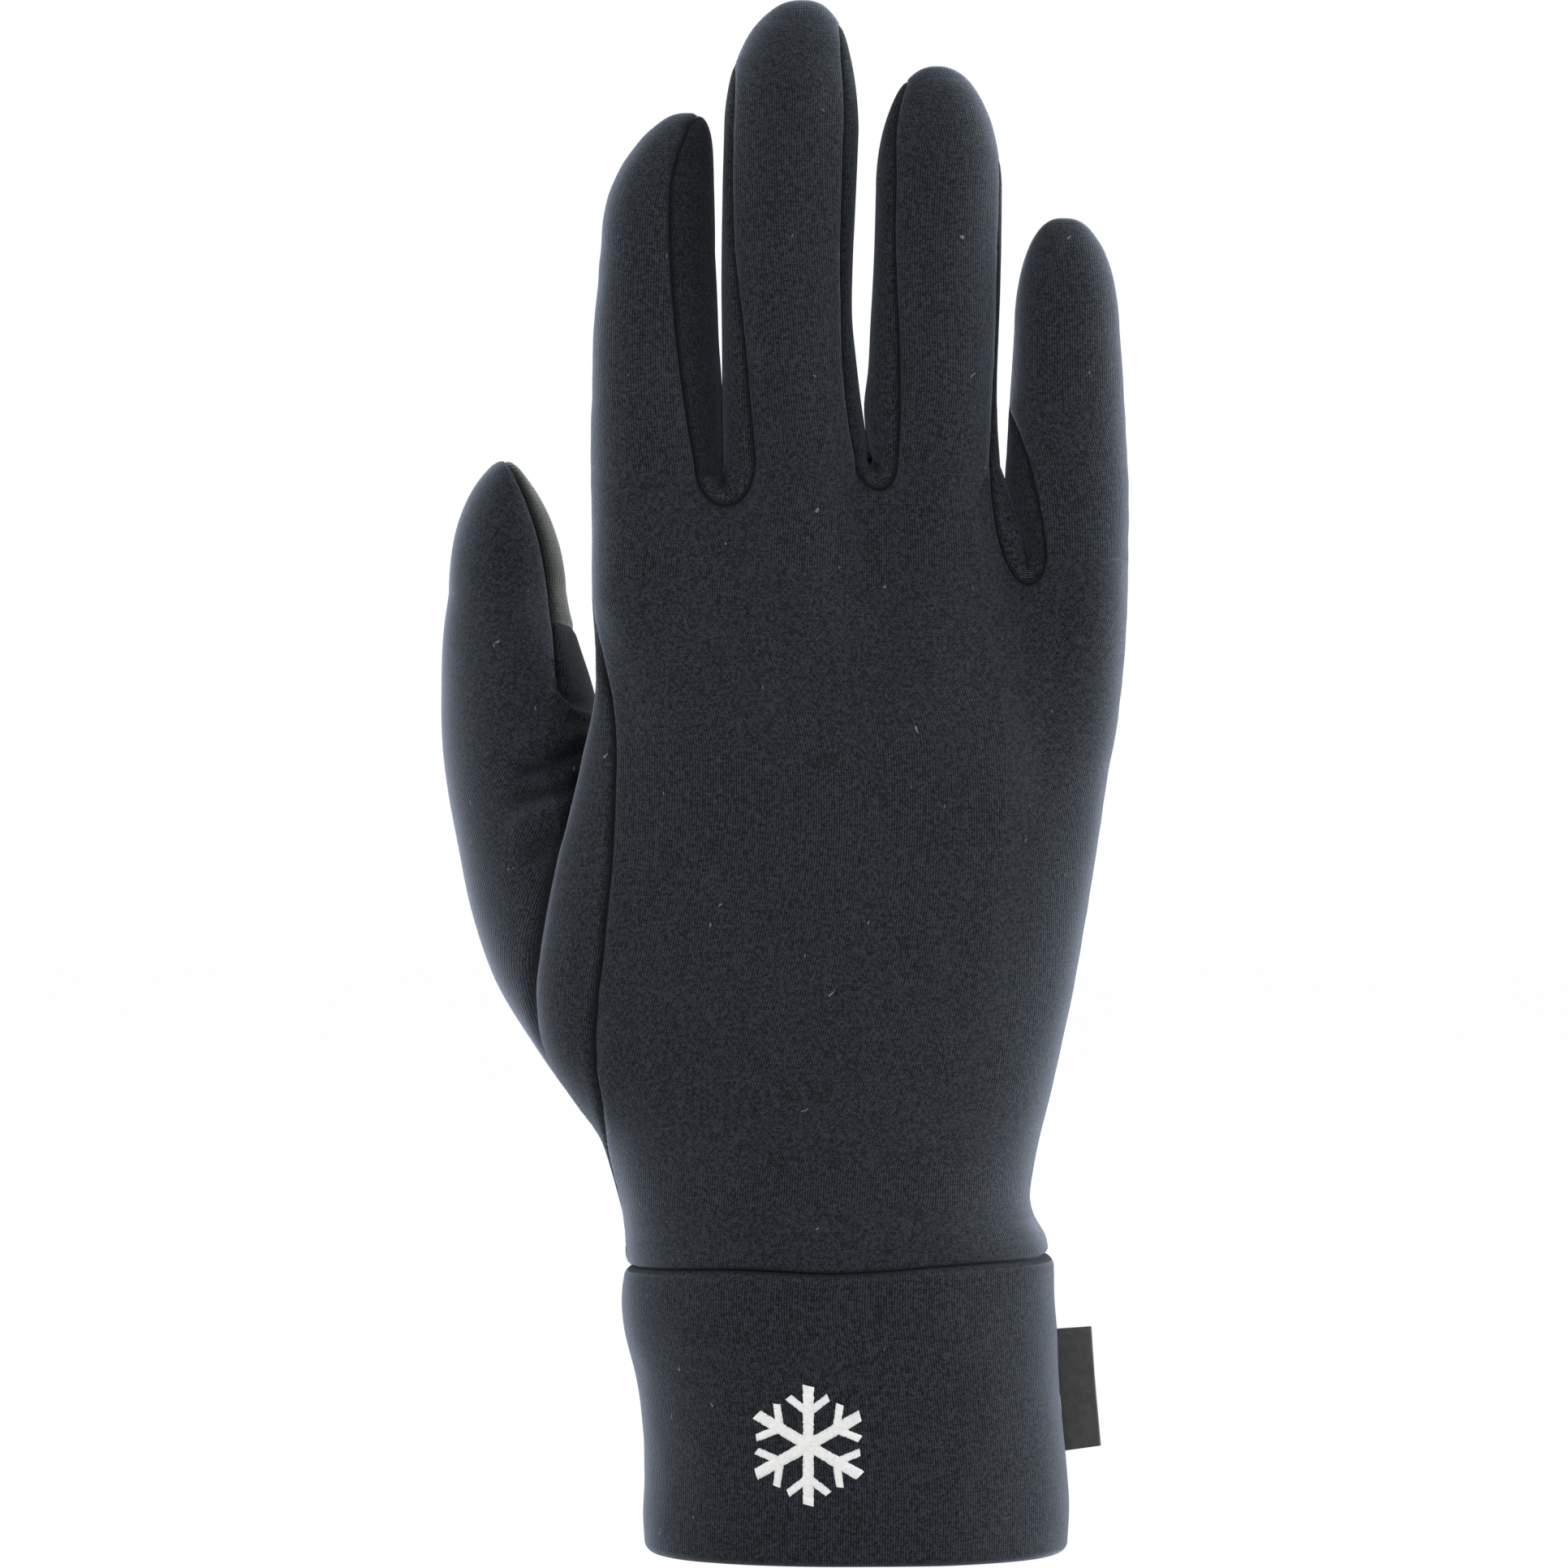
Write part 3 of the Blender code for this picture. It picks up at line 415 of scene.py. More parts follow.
def hand_columns(points, targets, palm_side, left, right):
    """Columns of points from the wrist up to each point of the upper edge."""
    fine, level = level_edge(points, targets)
    top_x, top_y, top_z = points.T
    down = HAND_SHARES[::-1, None]
    share = np.clip((2 * targets - left - right) / (right - left), -1, 1)
    angle = np.arccos(np.sign(share) * np.abs(share) ** (HAND_ROUND / 2))
    wrist_left, wrist_right = CUFF_SEAM_X[0], CUFF_SEAM_X[-1]
    wrist = (wrist_left + wrist_right) / 2 + share * (wrist_right - wrist_left) / 2
    z = top_z + (cuff_seam(wrist * MM) - top_z) * down
    cx, a, back, palm = hand_section(z)
    seam = side_seam_angle(z)
    turn = angle * ((2 * math.pi + seam) if palm_side else seam) / math.pi
    dx, dy = oval(a, np.where(np.sin(turn) > 0, palm, back), turn, HAND_ROUND)
    near = top_x + (targets - top_x) * (1 - np.exp((z - top_z) / FAN_DEPTH))
    x = near + (cx + dx - near) * smooth_step(down / KNUCKLE_BLEND)
    # Away from the sides the depth follows from x and z alone, so the surface is even across columns
    off = x - cx
    reach = np.clip(np.abs(off) / a, 0, 1)
    field = (1 - reach ** HAND_ROUND) ** (1 / HAND_ROUND) * (palm if palm_side else -back)
    same_side = (np.sin(turn) > 0) == palm_side
    dy = dy + (field - dy) * smooth_step((FIELD_EDGE - reach) / FIELD_FADE) * same_side
    # The shape of the level edge spans each row, out to its outermost points
    furthest = np.where(off > 0, off.max(axis=1, keepdims=True), -off.min(axis=1, keepdims=True))
    spread = off / np.maximum(a, furthest) * (right - left) / 2
    even = np.interp(spread + (left + right) / 2, fine, level)
    melt = smooth_step((mm_along(KNUCKLE_X, KNUCKLE_Z, x) - z) / KNUCKLE_MELT)
    y = even + (dy - even) * melt
    grid = np.stack([x, y, z], axis=-1)
    rest = (top_y - y[-1]) * smooth_step(1 - (z[-1] - z) / LEVEL_DEPTH)
    grid[..., 1] += relaxed(rest, grid)
    return grid


def close_sides(back, palm):
    """Draw the side edges of the two panels together, so that they meet in the side seams."""
    for column in (0, -1):
        gap = (palm[:, column, 1] - back[:, column, 1])[:, None]
        for grid, share in ((back, 0.5), (palm, -0.5)):
            reach = np.linalg.norm(grid - grid[:, [column]], axis=-1)
            grid[..., 1] += share * gap * bell(reach / CLOSE_REACH)
    # From each side seam inwards the back only rises and the palm only falls away: a row that would fold
    # over runs straight there instead, and its neighbours partly
    share = np.linspace(0, 1, EDGE_COLUMNS)
    for grid, furthest in ((back, np.minimum), (palm, np.maximum)):
        for columns in (slice(0, EDGE_COLUMNS), slice(-1, -EDGE_COLUMNS - 1, -1)):
            y = grid[:, columns, 1]
            rising = furthest.accumulate(y, axis=1)
            folded = (np.abs(rising - y).max(axis=1) > FOLD_LEAST).astype(float)
            near = np.clip(np.convolve(folded, FOLD_SPREAD, mode="same"), 0, 1)[:, None]
            straight = rising[:, :1] + (rising[:, -1:] - rising[:, :1]) * share
            grid[:, columns, 1] = rising + (straight - rising) * near
            # The points beside the seam are spaced in every row as in the top row
            edge = grid[:, columns].copy()
            run = run_along(edge, 1)
            for row, points in enumerate(edge):
                where = run[-1] / run[-1, -1] * run[row, -1]
                moved = [np.interp(where, run[row], points[:, k]) for k in range(3)]
                grid[row, columns] = np.stack(moved, axis=-1)
            top, low = grid[-1, columns].copy(), grid[-EDGE_ROWS, columns].copy()
            fall = (top[:, 2] - grid[-EDGE_ROWS:, columns, 2]) / (top[:, 2] - low[:, 2])
            grid[-EDGE_ROWS:, columns] = top + (low - top) * fall[..., None]


def level_bases(grid):
    """Carry the form of each finger straight down over its base, away from the crotches."""
    top, low = grid[-1].copy(), grid[-BASE_ROWS].copy()
    level = (np.abs(np.gradient(top[:, 2])) < BASE_SLOPE).astype(float)
    level = np.convolve(level, np.ones(BASE_BLUR) / BASE_BLUR, mode="same")[:, None]
    fall = (top[:, 2] - grid[-BASE_ROWS:, :, 2]) / (top[:, 2] - low[:, 2])
    grid[-BASE_ROWS:] += (top + (low - top) * fall[..., None] - grid[-BASE_ROWS:]) * level


# Thumb

THUMB_X = (-33.0, -41.2, -46.9, -52.7, -56.55, -58.2, -58.4)
THUMB_Y = (5.0, 7.5, 10.0, 13.0, 16.5, 19.0, 20.0)
THUMB_Z = (66.9, 82.9, 97.9, 117.9, 139.2, 151.4, 157.5)
THUMB_R = (7.2, 10.7, 14.0, 13.9, 12.85, 10.8, 9.9)
THUMB_DOME = 22.2 * MM
THUMB_TIP_ROUND = (1.5, 1.35)   # exponents of the tip's outline towards the hand and away from it
THUMB_TIP_SHIFT = 0.7 * MM
THUMB_TIP_UP = 0.6              # how far the closed tip turns to upright
THUMB_TIP_WIDE = 0.9            # exponent of the tip's width
THUMB_BEND_Z = 142.9 * MM
THUMB_PAD_Z = 150.2 * MM
THUMB_FLEX = (0.95, 0.31, 0.0)
# Half the width of the inner panel, about the closing direction, by height
THUMB_SEAM_Z = (142.9, 149.0, 155.6, 157.5)
THUMB_SEAM_TURN = (69.0, 63.3, 61.0, 61.0)


def thumb_centre(z):
    return np.array([mm_along(THUMB_Z, THUMB_X, z), mm_along(THUMB_Z, THUMB_Y, z), z])


def thumb_frame(z):
    """Centre, radius, closing direction, side and tangent of the thumb at this height."""
    step = 0.5 * MM
    low, high = max(z - step, THUMB_Z[0] * MM), min(z + step, THUMB_Z[-1] * MM)
    tangent = thumb_centre(high) - thumb_centre(low)
    tangent /= np.linalg.norm(tangent)
    close = np.array(THUMB_FLEX) - tangent * np.dot(THUMB_FLEX, tangent)
    close /= np.linalg.norm(close)
    return thumb_centre(z), mm_along(THUMB_Z, THUMB_R, z), close, np.cross(tangent, close), tangent


def thumb_ring(z, dome, angles):
    """A section of the thumb at this height, or at this share of its closed tip."""
    if not dome:
        centre, radius, close, side, _ = thumb_frame(z)
        deep = wide = radius
    else:
        centre, radius, close, side, tangent = thumb_frame(THUMB_Z[-1] * MM)
        turn = dome * math.pi / 2
        tangent = tangent + (np.array([0.0, 0.0, 1.0]) - tangent) * THUMB_TIP_UP
        rise = math.sin(turn)
        centre = centre + tangent * THUMB_DOME * rise - close * THUMB_TIP_SHIFT * rise ** 2
        fall = max(0.0, math.cos(turn))
        inside = radius * fall ** THUMB_TIP_ROUND[0]
        outside = radius * fall ** THUMB_TIP_ROUND[1]
        wide = radius * (TIP_SEAM + (1 - TIP_SEAM) * fall ** THUMB_TIP_WIDE)
        deep = np.where(np.cos(angles) > 0, inside, outside)[:, None]
    c, s = np.cos(angles)[:, None], np.sin(angles)[:, None]
    return centre + deep * c * close + wide * s * side


def thumb_angles(middle, z, dome, shares):
    seam = along(np.array(THUMB_SEAM_Z) * MM, THUMB_SEAM_TURN, THUMB_Z[-1] * MM if dome else z) * DEG
    reach = seam + (math.pi / 2 - seam) * dome
    if middle:
        reach = math.pi - reach
    return middle - reach + 2 * reach * shares


# Skin: welded normals, seam profile, folds

WELD = 0.002 * MM           # points closer than this are one
BROAD_WAVE, BROAD_HEIGHT = 13 * MM, 0.22 * MM
FINE_WAVE, FINE_HEIGHT, FINE_REACH = 3.6 * MM, 0.16 * MM, 4 * MM
PAD_SEAM = 0.3              # depth of the pads' lower edges, as a share of a seam's
CREASE_SHADE = 0.9
SEAM_SOFTEN, SOFTEN_WIDTH = 0.75, 1.1 * MM


def quads(ids):
    """The four corners of each cell of a grid of point numbers."""
    return np.stack([ids[:-1, :-1], ids[:-1, 1:], ids[1:, 1:], ids[1:, :-1]], axis=-1).reshape(-1, 4)


def numbers(rows, columns):
    return np.arange(rows * columns).reshape(rows, columns)


def weld(grids):
    """Point numbers for each of several grids, the same where points coincide."""
    keys = np.round(np.concatenate([g.reshape(-1, 3) for g in grids]) / WELD).astype(np.int64)
    _, index = np.unique(keys, axis=0, return_inverse=True)
    ends = np.cumsum([g.shape[0] * g.shape[1] for g in grids])[:-1]
    return [ids.reshape(g.shape[:2]) for ids, g in zip(np.split(index.reshape(-1), ends), grids)]


def skin_normals(grids, welded):
    """Outward unit normals of a skin made of grids that share their edges."""
    sums = np.zeros((max(ids.max() for ids in welded) + 1, 3))
    for grid, ids in zip(grids, welded):
        n = np.cross(grid[1:, 1:] - grid[:-1, :-1], grid[1:, :-1] - grid[:-1, 1:])
        for corner in quads(ids).T:
            np.add.at(sums, corner, n.reshape(-1, 3))
    sums /= np.maximum(np.linalg.norm(sums, axis=1, keepdims=True), 1e-15)
    return [sums[ids] for ids in welded]


def seam_tree(lines):
    points = np.concatenate([line.reshape(-1, 3) for line in lines])
    tree = KDTree(len(points))
    for k, p in enumerate(points):
        tree.insert(Vector(p), k)
    tree.balance()
    return tree


def seam_distance(grid, tree):
    flat = grid.reshape(-1, 3)
    return np.array([tree.find(Vector(p))[2] for p in flat]).reshape(grid.shape[:2])


def seam_profile(d):
    return ROLL * bell((d - ROLL_AT) / ROLL_WIDTH) - GROOVE * bell(d / GROOVE_WIDTH)


def noise_field(grid, size):
    flat = grid.reshape(-1, 3)
    return np.array([noise.noise(Vector(p) / size) for p in flat]).reshape(grid.shape[:2])


def cloth_waves(grid, d):
    """Gentle unevenness of the cloth, and finer puckers close to a seam."""
    fine = FINE_HEIGHT * noise_field(grid, FINE_WAVE) * np.exp(-d / FINE_REACH)
    return BROAD_HEIGHT * noise_field(grid, BROAD_WAVE) + fine


def fold_height(grid, folds):
    """Soft ridges on lines of the front view, from points (x, z), height, width in mm and shade."""
    x, z = grid[..., 0] / MM, grid[..., 2] / MM
    total, shade = np.zeros(grid.shape[:2]), np.zeros(grid.shape[:2])
    for line, height, width, dark in folds:
        best = np.full(x.shape, 1e9)
        for (x0, z0), (x1, z1) in zip(line[:-1], line[1:]):
            dx, dz = x1 - x0, z1 - z0
            t = np.clip(((x - x0) * dx + (z - z0) * dz) / (dx * dx + dz * dz), 0, 1)
            best = np.minimum(best, np.hypot(x - x0 - t * dx, z - z0 - t * dz))
        total += height * MM * bell(best / width)
        shade = np.maximum(shade, dark * bell(best / width))
    return total, shade


class Skin:
    """Panels that share their edges, dressed with the profile of their seams, waves and folds."""

    def __init__(self, grids, seams, pad_edge):
        self.grids = grids
        self.welded = weld(grids.values())
        self.normals = dict(zip(grids, skin_normals(grids.values(), self.welded)))
        self.tree, self.pad_tree = seam_tree(seams), seam_tree([pad_edge])
        self.shapes, self.shades, self.shading = {}, {}, {}

    def dress(self, name, folds=None, crease=None, waves=1.0, dim=0.0):
        grid, normal = self.grids[name], self.normals[name]
        d = seam_distance(grid, self.tree)
        height = seam_profile(d) + waves * cloth_waves(grid, d)
        height = height + PAD_SEAM * seam_profile(seam_distance(grid, self.pad_tree))
        shade = np.maximum(bell(d / SHADE_WIDTH), dim)
        if crease is not None:
            height = height - CREASE_DEPTH * bell(crease / CREASE_WIDTH)
            shade = np.maximum(shade, CREASE_SHADE * bell(crease / CREASE_WIDTH))
        if folds:
            front = smooth_step(-normal[..., 1] * 2 + 0.5)
            fold, dark = fold_height(grid, folds)
            height = height + fold * front
            shade = np.maximum(shade, dark * front)
        self.shapes[name], self.shades[name] = grid + normal * height[..., None], shade

    def soften(self):
        """Normals to shade with: those of the plain skin close to a seam, where its groove is narrow."""
        bent = skin_normals([self.shapes[name] for name in self.grids], self.welded)
        for (name, grid), normal in zip(self.grids.items(), bent):
            near = SEAM_SOFTEN * bell(seam_distance(grid, self.tree) / SOFTEN_WIDTH)[..., None]
            mixed = normal + (self.normals[name] - normal) * near
            self.shading[name] = mixed / np.linalg.norm(mixed, axis=-1, keepdims=True)


def lengths(grid):
    """Texture coordinates in metres: length across from the middle column, and length up."""
    across = run_along(grid, 1)
    across -= across[:, [grid.shape[1] // 2]]
    return np.stack([across, grid[..., 2]], axis=-1)


def add_object(name, points, faces, *finishes, uv=None, seam=None):
    """A smooth mesh with its finishes, texture coordinates by corner and painted shade of seams, creases,
    folds and walls by point.
    """
    mesh = bpy.data.meshes.new(name)
    mesh.from_pydata(points, [], faces)
    if uv is not None:
        mesh.uv_layers.new(name="cloth").data.foreach_set("uv", np.reshape(uv, -1))
    if seam is not None:
        mesh.attributes.new("seam", "FLOAT", "POINT").data.foreach_set("value", seam)
    mesh.shade_smooth()
    for finish in finishes:
        mesh.materials.append(finish)
    obj = bpy.data.objects.new(name, mesh)
    bpy.context.scene.collection.objects.link(obj)
    return obj


def add_panel(name, skin, panel, finish, rows=slice(None), kept=None):
    """A closed panel of cloth: outer points, inner points under them, and a rim round what is kept."""
    outer, normals, shading = (part[panel][rows] for part in (skin.shapes, skin.normals, skin.shading))
    count = outer.shape[0] * outer.shape[1]
    cells = quads(numbers(*outer.shape[:2]))
    if kept is not None:
        cells = cells[kept.reshape(-1)]
    edges = dict.fromkeys((a, b) for cell in cells.tolist() for a, b in zip(cell, cell[1:] + cell[:1]))
    rim = [(b, a, a + count, b + count) for a, b in edges if (b, a) not in edges]
    faces = cells.tolist() + (cells[:, ::-1] + count).tolist() + rim
    points = np.concatenate([outer, outer - normals * FABRIC]).reshape(-1, 3)
    uv = lengths(outer).reshape(-1, 2)[np.array(faces) % count]
    # The painted shade of each point, on outer and inner points alike
    seam = np.tile(skin.shades[panel][rows].reshape(-1), 2)
    obj = add_object(name, points.tolist(), faces, finish, uv=uv, seam=seam)
    sides = np.concatenate([shading, -shading]).reshape(-1, 3)
    obj.data.normals_split_custom_set_from_vertices(sides.tolist())
    bm = bmesh.new()
    bm.from_mesh(obj.data)
    bmesh.ops.delete(bm, geom=[v for v in bm.verts if not v.link_faces], context="VERTS")
    bm.to_mesh(obj.data)
    bm.free()
    return obj


# Materials

INK = (0.002, 0.0025, 0.003)           # the deepest points of the knit
SLATE = (0.0295, 0.036, 0.0435)
# Painted light: a lighter copy of the knit's colour, for the walls between the stalls and the cuff's
# turned-in edge
PAINTED_LIGHTER_SLATE = (0.036, 0.044, 0.053)
# Painted shade: the near-black that seams' grooves, creases, folds, hollows and shaded walls are darkened
# towards
PAINTED_SHADE_BLACK = (0.002, 0.0022, 0.0026, 1.0)
LINT = (0.28, 0.28, 0.28, 1.0)
LINT_STRENGTH = 0.5
BIAS = 35 * DEG                        # turn of the knit on the thumb
SHEEN_TINT = (0.7, 0.8, 1.0)


class Nodes:
    """The shader nodes of a material or a world."""

    def __init__(self, owner):
        owner.use_nodes = True
        self.owner, self.tree = owner, owner.node_tree

    def wire(self, socket, value):
        """Link a socket to another, or set its constant."""
        if isinstance(value, bpy.types.NodeSocket):
            self.tree.links.new(value, socket)
        else:
            socket.default_value = value

    def set(self, node, **inputs):
        """Wire the sockets of a node that is there from the start."""
        for key, value in inputs.items():
            name = key.replace("_", " ").title().replace("Ior", "IOR")
            self.wire(self.tree.nodes[node].inputs[name], value)

    def add(self, kind, inputs=None, **settings):
        """A new node, given by its outputs."""
        made = self.tree.nodes.new("ShaderNode" + kind)
        for key, value in settings.items():
            setattr(made, key, value)
        for key, value in (inputs or {}).items():
            self.wire(made.inputs[key], value)
        return made.outputs

    def math(self, operation, *values):
        return self.add("Math", dict(enumerate(values)), operation=operation)[0]

    def plus(self, a, b):
        return self.math("ADD", a, b)

    def times(self, a, b):
        return self.math("MULTIPLY", a, b)

    def wave(self, length, pitch, *shift):
        """A sine along a length, shifted by further angles."""
        angle = self.times(length, 2 * math.pi / pitch)
        for more in shift:
            angle = self.plus(angle, more)
        return self.math("SINE", angle)

    def mix(self, share, a, b):
        return self.add("Mix", {"Factor": share, "A": a, "B": b}, data_type="RGBA")["Result"]

    def noise(self, where, scale, detail=2.0, rough=0.5):
        inputs = {"Scale": scale, "Detail": detail, "Roughness": rough, "Vector": where}
        return self.add("TexNoise", inputs)["Fac"]

    def ramp(self, value, *stops):
        made = self.tree.nodes.new("ShaderNodeValToRGB")
        for element, (at, colour) in zip(made.color_ramp.elements, stops):
            element.position, element.color = at, (*colour, 1.0)
        self.wire(made.inputs["Fac"], value)
        return made.outputs["Color"]

    def bump(self, height, strength, distance):
        return self.add("Bump", {"Strength": strength, "Distance": distance, "Height": height})["Normal"]

    def places(self):
        """Where a point lies on the cloth, and in the object's space."""
        return self.add("UVMap", uv_map="cloth")["UV"], self.add("TexCoord")["Object"]


def material(name):
    return Nodes(bpy.data.materials.new(name))


def lint_mask(nodes, uv, where):
    """Short stray fibres, bent a little by a noise."""
    bend = nodes.add("TexNoise", {"Scale": 320.0, "Vector": where})["Color"]
    inputs = {0: bend, 1: (0.004, 0.004, 0.0), 2: uv}
    stray = nodes.add("VectorMath", inputs, operation="MULTIPLY_ADD")["Vector"]
    inputs = {"Scale": (1.0, 0.4, 1.0), "Rotation": (0.0, 0.0, 0.6), "Vector": stray}
    stretch = nodes.add("Mapping", inputs)["Vector"]
    specks = nodes.add("TexVoronoi", {"Scale": 150.0, "Vector": stretch}, voronoi_dimensions="2D")
    near = nodes.math("LESS_THAN", specks["Distance"], 0.02)
    pick = nodes.add("SeparateColor", {"Color": specks["Color"]})["Red"]
    return nodes.times(nodes.times(near, nodes.math("GREATER_THAN", pick, 0.7)), LINT_STRENGTH)


def knit(name, light, sheen, dark=INK, tint=SHEEN_TINT, pitch=(0.42 * MM, 0.34 * MM), turn=0.0, lint=True):
    """Fine jersey face of brushed fleece: wales, courses, soft mottling and a little lint, darkened by the
    painted shade that each point carries.
    """
    nodes = material(name)
    plus, times = nodes.plus, nodes.times
    uv, where = nodes.places()
    turned = nodes.add("VectorRotate", {"Angle": turn, "Vector": uv}, rotation_type="Z_AXIS")["Vector"]
    split = nodes.add("SeparateXYZ", {"Vector": turned})
    drift = times(nodes.math("SUBTRACT", nodes.noise(where, 900.0), 0.5), 2.2)
    ribs = nodes.wave(split["X"], pitch[0], drift)
    # Each stitch is a small V, so the courses lean to and fro with the ribs
    loops = nodes.wave(split["Y"], pitch[1], times(nodes.math("ABSOLUTE", ribs), 2.0), drift)
    cell = plus(times(ribs, 0.32), times(loops, 0.22))
    fuzz, patch = nodes.noise(where, 1800.0, 3.0, 0.75), nodes.noise(where, 60.0)
    tone = plus(times(cell, 0.5), plus(times(fuzz, 1.5), -0.25))
    tone = plus(tone, times(nodes.math("SUBTRACT", patch, 0.5), 0.08))
    colour = nodes.ramp(tone, (0.44, dark), (0.6, light))
    if lint:
        colour = nodes.mix(lint_mask(nodes, uv, where), colour, LINT)
    # Painted shade by point, kept in the attribute seam: grooves, creases, folds, hollows and walls
    painted_shade_mask = nodes.add("Attribute", attribute_name="seam")["Fac"]
    nodes.set(
        "Principled BSDF", base_color=nodes.mix(painted_shade_mask, colour, PAINTED_SHADE_BLACK),
        normal=nodes.bump(plus(cell, times(fuzz, 0.9)), 0.45, 0.12 * MM),
        roughness=0.92, specular_ior_level=0.18,
        sheen_weight=sheen[0], sheen_roughness=sheen[1], sheen_tint=(*tint, 1.0),
    )
    return nodes.owner


FLEECE = knit("fleece_knit", SLATE, (0.95, 0.4))
# Painted light and shade: the walls take the lighter colour and little sheen
WALL_FLEECE_PAINTED_LIGHTER = knit("wall_fleece_knit", PAINTED_LIGHTER_SLATE, (0.16, 0.38))
# Painted shade: a copy with little sheen, for the cloth beside the thumb's crease
INNER_FLEECE_PAINTED_SHADE = knit("inner_fleece_knit", SLATE, (0.04, 0.38), turn=BIAS)
PALM_FLEECE = knit("palm_fleece_knit", SLATE, (0.5, 0.36))
THUMB_FLEECE = knit("thumb_fleece_knit", SLATE, (0.95, 0.4), turn=BIAS)
CUFF_FLEECE = knit("cuff_fleece_knit", SLATE, (0.8, 0.38))
CONDUCTIVE = knit(
    "conductive_knit", (0.022, 0.0245, 0.0235), (0.8, 0.38), dark=(0.004, 0.0045, 0.0045),
    tint=(0.95, 1.0, 0.97), pitch=(0.55 * MM, 0.55 * MM), lint=False,
)


# Build the skin of hand and fingers

panels, splits = {}, {}
for finger in FINGERS:
    panels[finger.name], splits[finger.name] = finger_panels(finger)
gussets = []
for k, (_, bottom, lowest, crease) in enumerate(CROTCHES):
    left_wall = panels[FINGERS[k].name]["ulnar_wall"][0]
    right_wall = panels[FINGERS[k + 1].name]["radial_wall"][0][::-1]
    gussets.append(crotch_grid(left_wall, right_wall, bottom * MM, lowest, crease))
back_top, back_targets = upper_edge("back", 0)
palm_top, palm_targets = upper_edge("palm", -1)
span = (back_top[0][0], back_top[-1][0])
back = hand_columns(back_top, back_targets, False, *span)
palm = hand_columns(palm_top, palm_targets, True, *span)
close_sides(back, palm)
level_bases(back)
level_bases(palm)
palm = palm[:, ::-1]

grids = {"hand_back": back, "hand_palm": palm}
seams = [back[:, 0], back[:, -1], palm[0], back[0]]
for crotch, gusset in zip(CROTCHES, gussets):
    grids[crotch[0] + "_gusset"] = gusset
    seams += [gusset[:, 0], gusset[:, -1]]
for finger in FINGERS:
    for side, grid in panels[finger.name].items():
        grids[(finger.name, side)] = grid
        if side in ("back", "palm"):
            seams += [grid[:, 0], grid[:, -1], grid[-1]]
index_palm = panels["index"]["palm"]
pad_row = int(np.argmin(np.abs(index_palm[:, 0, 2] - INDEX_PAD_Z)))
hand = Skin(grids, seams, index_palm[pad_row])

# Thumb surface
THUMB_STEP = 0.8 * MM
BASE_ROW_COUNT, TIP_ROW_COUNT = 100, 7
thumb_base_z = np.linspace(THUMB_Z[0] * MM, THUMB_BEND_Z, BASE_ROW_COUNT)
thumb_low_z = np.linspace(THUMB_BEND_Z, THUMB_PAD_Z, TIP_ROW_COUNT)
thumb_high_z = np.linspace(THUMB_PAD_Z, THUMB_Z[-1] * MM, TIP_ROW_COUNT)
thumb_domes = np.linspace(0, 1, DOME_ROWS)[1:]
outer_shares, inner_shares = spaced(48 * MM, THUMB_STEP), spaced(24 * MM, THUMB_STEP)


def thumb_rows(heights, domes, sides):
    rows = []
    for z, dome in [(z, 0.0) for z in heights] + [(0.0, d) for d in domes]:
        angles = [thumb_angles(0.0 if s is inner_shares else math.pi, z, dome, s) for s in sides]
        parts = [thumb_ring(z, dome, a) for a in angles]
        rows.append(np.concatenate([parts[0]] + [p[1:] for p in parts[1:]]))
    return np.array(rows)


thumb_base = thumb_rows(thumb_base_z, [], (inner_shares, outer_shares))
thumb_outer = thumb_rows([*thumb_low_z, *thumb_high_z[1:]], thumb_domes, (outer_shares,))
thumb_inner = thumb_rows(thumb_low_z, [], (inner_shares,))
thumb_pad = thumb_rows(thumb_high_z, thumb_domes, (inner_shares,))
thumb = Skin(
    {
        "thumb_base": thumb_base, "thumb_outer": thumb_outer, "thumb_inner": thumb_inner,
        "thumb_touch_pad": thumb_pad,
    },
    [
        thumb_outer[:, 0], thumb_outer[:, -1], thumb_outer[-1],
        thumb_base[-4:, 0], thumb_base[-4:, len(inner_shares) - 1],
    ],
    thumb_pad[0],
)


def surface(grids):
    """A tree of the grids' faces, to find the nearest point on them."""
    points, faces = [], []
    for grid in grids:
        faces += (len(points) + quads(numbers(*grid.shape[:2]))).tolist()
        points += [Vector(p) for p in grid.reshape(-1, 3)]
    return BVHTree.FromPolygons(points, faces)


def signed_distance(grid, tree):
    """Height of each point above a surface, negative inside it."""
    out = []
    for p in grid.reshape(-1, 3):
        hit, normal, _, distance = tree.find_nearest(Vector(p))
        inside = (Vector(p) - hit).dot(normal) < 0
        out.append(-distance if inside else distance)
    return np.array(out).reshape(grid.shape[:2])


above_hand = signed_distance(thumb_base, surface([back, palm]))
above_thumb = signed_distance(palm, surface([thumb_base]))
